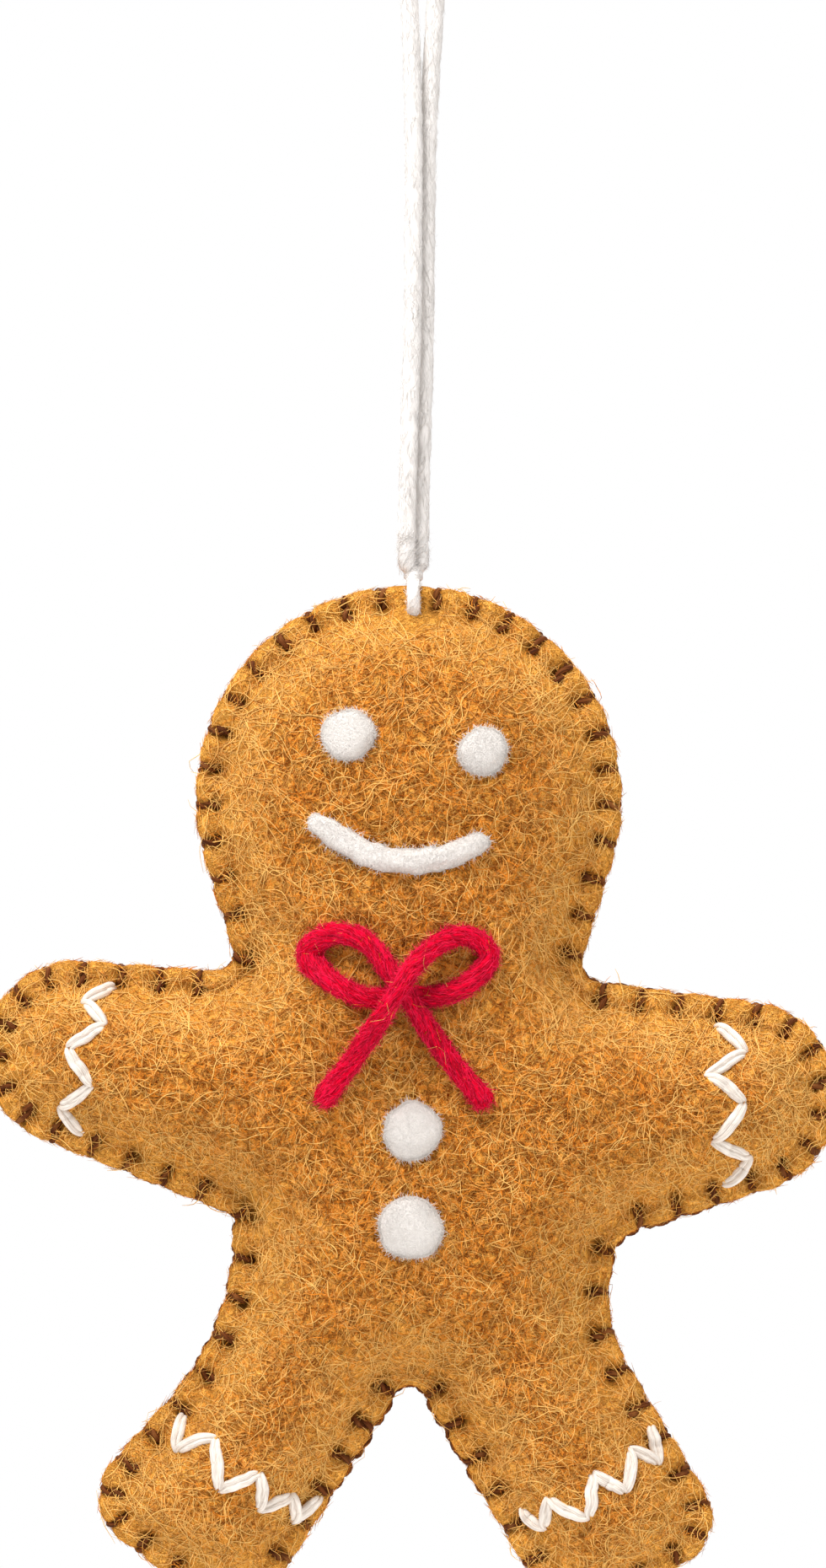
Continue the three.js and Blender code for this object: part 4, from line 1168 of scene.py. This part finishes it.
def bow():
    def loop(width, start_lift):
        lifts = [start_lift, 0.3, 0, 0, 0, 0]
        return [(complex(width * a, BOW_HEIGHT * b), lift) for (a, b), lift in zip(LOOP_SHARES, lifts)]

    def tail(end, lift):
        return [(end, TAIL_LIFT), (end * TAIL_LEVEL, 0), (end / 2, lift)]

    # points from the middle of the bow, each with its lift in thicknesses of the yarn
    stations = [
        *tail(LEFT_TAIL, 0.3), (0, 2), *loop(RIGHT_LOOP, 1.6), (0, 0),
        *loop(LEFT_LOOP, 0.8)[::-1], (0, 1), *tail(RIGHT_TAIL, 0.15)[::-1]]
    points, lifts = np.array(stations).T
    route = curve(over_front(BOW_CENTRE + points, YARN_LEVEL + lifts.real * YARN_THICKNESS), BOW_STEP)
    tubes = Tubes()
    lump = field(51, 0.9)
    way = np.arange(len(route)) * BOW_STEP
    turn = way[np.argmin(route[:, 0])]
    ends = np.minimum(way, way[-1] - way)
    middle = np.abs(route[:, 0] + 1j * route[:, 2] - FIGURE[0] - 1j * FIGURE[2] - BOW_CENTRE)
    swell = 1 + 0.3 * np.exp(-((way - turn) / 3) ** 2) + 0.12 * np.exp(-(ends / 3) ** 2)
    swell = swell - 0.14 * np.exp(-(middle / 2.5) ** 2)
    plies(tubes, route, 1, 0, BOW_SPREAD * swell, pitch=1, sides=12)
    plies(
        tubes, route, BOW_STRANDS, BOW_SPREAD * swell, BOW_STRAND * swell, pitch=26, sides=12,
        relief=lambda s: 0.1 * lump(s))
    tubes.piece("bow_yarn", "red_yarn", "bow", RED_YARN)
    rng = np.random.default_rng(52)
    surface = tubes.arrays()
    for part in (1, 2):
        fuzz(
            f"bow_fuzz_{part}", "red_yarn", scatter(*surface, BOW_FUZZ_COUNT, rng), RED_FIBRE, rng,
            length=(1.0, 3.0), thickness=(0.03, 0.055), lift=(-0.02, 0.07), free=(0.0, 0.1),
            curl=(0.0, 0.8), spread=0.22)
    fuzz(
        "bow_caught_fibres", "felt", scatter(*surface, CAUGHT_COUNT, rng), FELT_FIBRE, rng,
        length=(1.5, 3.5), thickness=(0.025, 0.04), lift=(0.03, 0.12), free=(-0.1, 0.05), curl=(0.0, 2.0))


bow()


# Zigzag threads

ZIGZAGS = {
    "arm_zigzag_left": [
        (-33.6, -45), (-37.1, -46.9), (-34.6, -49.3), (-38.8, -51.9), (-36.1, -56.1), (-39.8, -58.6),
        (-37.1, -61.8)],
    "arm_zigzag_right": [
        (34, -49.5), (37.3, -52.4), (32.8, -55), (37.1, -58), (33.5, -62.4), (37.9, -64.2), (34.8, -67.5)],
    "leg_zigzag_left": [
        (-25.9, -93.2), (-26.6, -97.3), (-22.2, -95.6), (-21.8, -101.5), (-17.2, -99.5), (-17.3, -103.8),
        (-13.6, -102.1), (-13.6, -105.5), (-10.4, -102.6)],
    "leg_zigzag_right": [
        (26.7, -94.6), (27.6, -98.8), (24.3, -97), (23.8, -101.7), (20.1, -99.5), (19.7, -104.6),
        (15.1, -102.4), (14.8, -106), (12.2, -103.8)],
}
ZIGZAG_WIDTH = 0.42  # half a strand's width and height, and half its way from the other strand
ZIGZAG_HEIGHT = 0.34
ZIGZAG_APART = 0.32
ZIGZAG_STEP = 0.22


def zigzag(node, corners):
    tubes = Tubes()
    for i, (start, end) in enumerate(zip(corners, corners[1:])):
        start, end = complex(*start), complex(*end)
        along = (end - start) / abs(end - start)
        share = np.linspace(-0.02, 1.02, max(12, round(abs(end - start) / ZIGZAG_STEP)))
        sag = 1j * along * 0.12 * np.sin(np.pi * share)
        arch = np.sin(np.pi * np.clip(share, 0, 1))
        spread = 0.55 + 0.45 * arch ** 0.6
        middle = over_front(start + (end - start) * share + sag, 0.42 * arch ** 0.4 - 0.55 * (1 - arch) ** 3)
        ways = ways_along(middle)
        side = unit(np.cross(ways, (0, 1, 0)))
        up = np.cross(side, ways)
        for sign in (-1, 1):
            tubes.add(
                middle + sign * side * (ZIGZAG_APART * spread)[:, None], side, up,
                ZIGZAG_WIDTH * spread, ZIGZAG_HEIGHT, sides=12, offset=31.0 * i + 7 * sign)
    tubes.piece(node + "_strands", "white_thread", node, WHITE_THREAD)


for node, corners in ZIGZAGS.items():
    zigzag(node, corners)


# Knot and anchor

KNOT_STRAND = [  # from the middle of the knot
    (0.74, 0.93, 3.8), (0.75, 0.9, 1.7), (0.75, 0.85, 0.6), (0.7, 0.7, -0.4), (0.45, 0.4, -1.1),
    (0.1, 0.1, -2.6)]
KNOT_HEIGHTS = [-2.6, -1.3, -0.4, 1.6, 3.8]
KNOT_RADII = [0.5, 0.64, 0.95, 0.97, 0.86]
KNOT_STEP = 0.12
WRAP_TURNS = 2.3
WRAP_RADIUS = 0.66
WRAP_STRAND = 0.44
WRAP_TOP = -1.2
WRAP_DROP = 0.8


def knot():
    tubes = Tubes()
    for side in (-1, 1):
        strand = curve([(LEAN + side * x, side * y, KNOT_Z + z) for x, y, z in KNOT_STRAND], KNOT_STEP)
        thin = np.interp(strand[:, 2], KNOT_Z + np.array(KNOT_HEIGHTS), KNOT_RADII)
        plies(tubes, strand, 1, 0, thin, pitch=5, sides=18, start=(1, 0, 0))
    share = np.linspace(0, 1, 120)
    turn = TURN * WRAP_TURNS * share
    wrap = np.column_stack([
        LEAN + WRAP_RADIUS * np.cos(turn), WRAP_RADIUS * np.sin(turn), KNOT_Z + WRAP_TOP - WRAP_DROP * share])
    plies(tubes, wrap, 1, 0, WRAP_STRAND, pitch=5, sides=18)
    tubes.piece("cord_knot_wrapped", "cotton_cord", "cord_knot", COTTON, "knot")
    cotton_fuzz("cord_knot_fuzz", tubes, 700, 13, "knot", lowest=KNOT_Z - 1)


def anchor():
    """The stitch through the head's top: out of the knot, over the edge and through both panels."""
    level = float(felt_height(np.array([complex(0, -ANCHOR_BITE)]), -1)[0])
    leg = np.array([
        (0, 0.2, 2.2), (0, 0.7, 1.4), (0, 1.4, 0.7), (0, level * 0.85 + 0.2, -0.1), (0, level + 0.35, -1.2),
        (0, level + 0.3, -2.3), (0, level - 0.5, -ANCHOR_BITE), (0, 0.3, -ANCHOR_BITE - 0.1)])
    route = curve(np.vstack([leg * [1, -1, 1], leg[::-1]]) + FIGURE, KNOT_STEP)
    tubes = Tubes()
    plies(
        tubes, route, 1, 0, ANCHOR_RADIUS, pitch=5, sides=18, start=(1, 0, 0), relief=laid(0.04, pitch=4))
    tubes.piece("anchor_strand", "cotton_cord", "anchor_stitch", COTTON, "anchor")
    cotton_fuzz("anchor_fuzz", tubes, 400, 14, "anchor")


knot()
anchor()


# Stage and light

LIGHTS = {  # place and size in metres, power in watts
    "key": ((-0.42, -0.6, 0.8), 0.5, 13.5),
    "fill": ((0.9, -0.6, 0.1), 0.9, 3.6),
    "top": ((-0.25, -0.1, 0.95), 0.6, 8),
    "behind": ((0.1, 1.0, 0.4), 0.9, 8),
}
LIT = Vector((0, 0, -0.15))
AMBIENT = 0.35
FLOOR_RADIUS = 1000
FLOOR_HEIGHT = -300
FLOOR_CORNERS = 96

for name, (place, size, power) in LIGHTS.items():
    data = bpy.data.lights.new(name, "AREA")
    data.shape = "DISK"
    data.size = size
    data.energy = power
    lamp = new_object(name, data)
    lamp.location = place
    lamp.rotation_euler = (LIT - lamp.location).to_track_quat("-Z", "Y").to_euler()

# the background is white where it is seen, also in a gloss, and dimmer as a light
world = bpy.data.worlds.new("world")
bpy.context.scene.world = world
w = Nodes(world)
camera_ray, glossy_ray, transmission_ray = (
    w.add("LightPath", {}, output=name) for name in ("Is Camera Ray", "Is Glossy Ray", "Is Transmission Ray"))
seen = w.math("MAXIMUM", w.math("MAXIMUM", camera_ray, glossy_ray), transmission_ray)
w.set(w.tree.nodes["Background"], {"Color": (1, 1, 1, 1), "Strength": w.range(seen, 0, 1, AMBIENT, 1)})

corners = np.arange(FLOOR_CORNERS)
angles = TURN * corners / FLOOR_CORNERS
ring = [(FLOOR_RADIUS * math.cos(angle), FLOOR_RADIUS * math.sin(angle), FLOOR_HEIGHT) for angle in angles]
floor = new_piece("floor", ring, [corners[None]], Material("floor", 0.9).finish(colour(240, 240, 240)))

bpy.context.scene.view_settings.view_transform = "Standard"
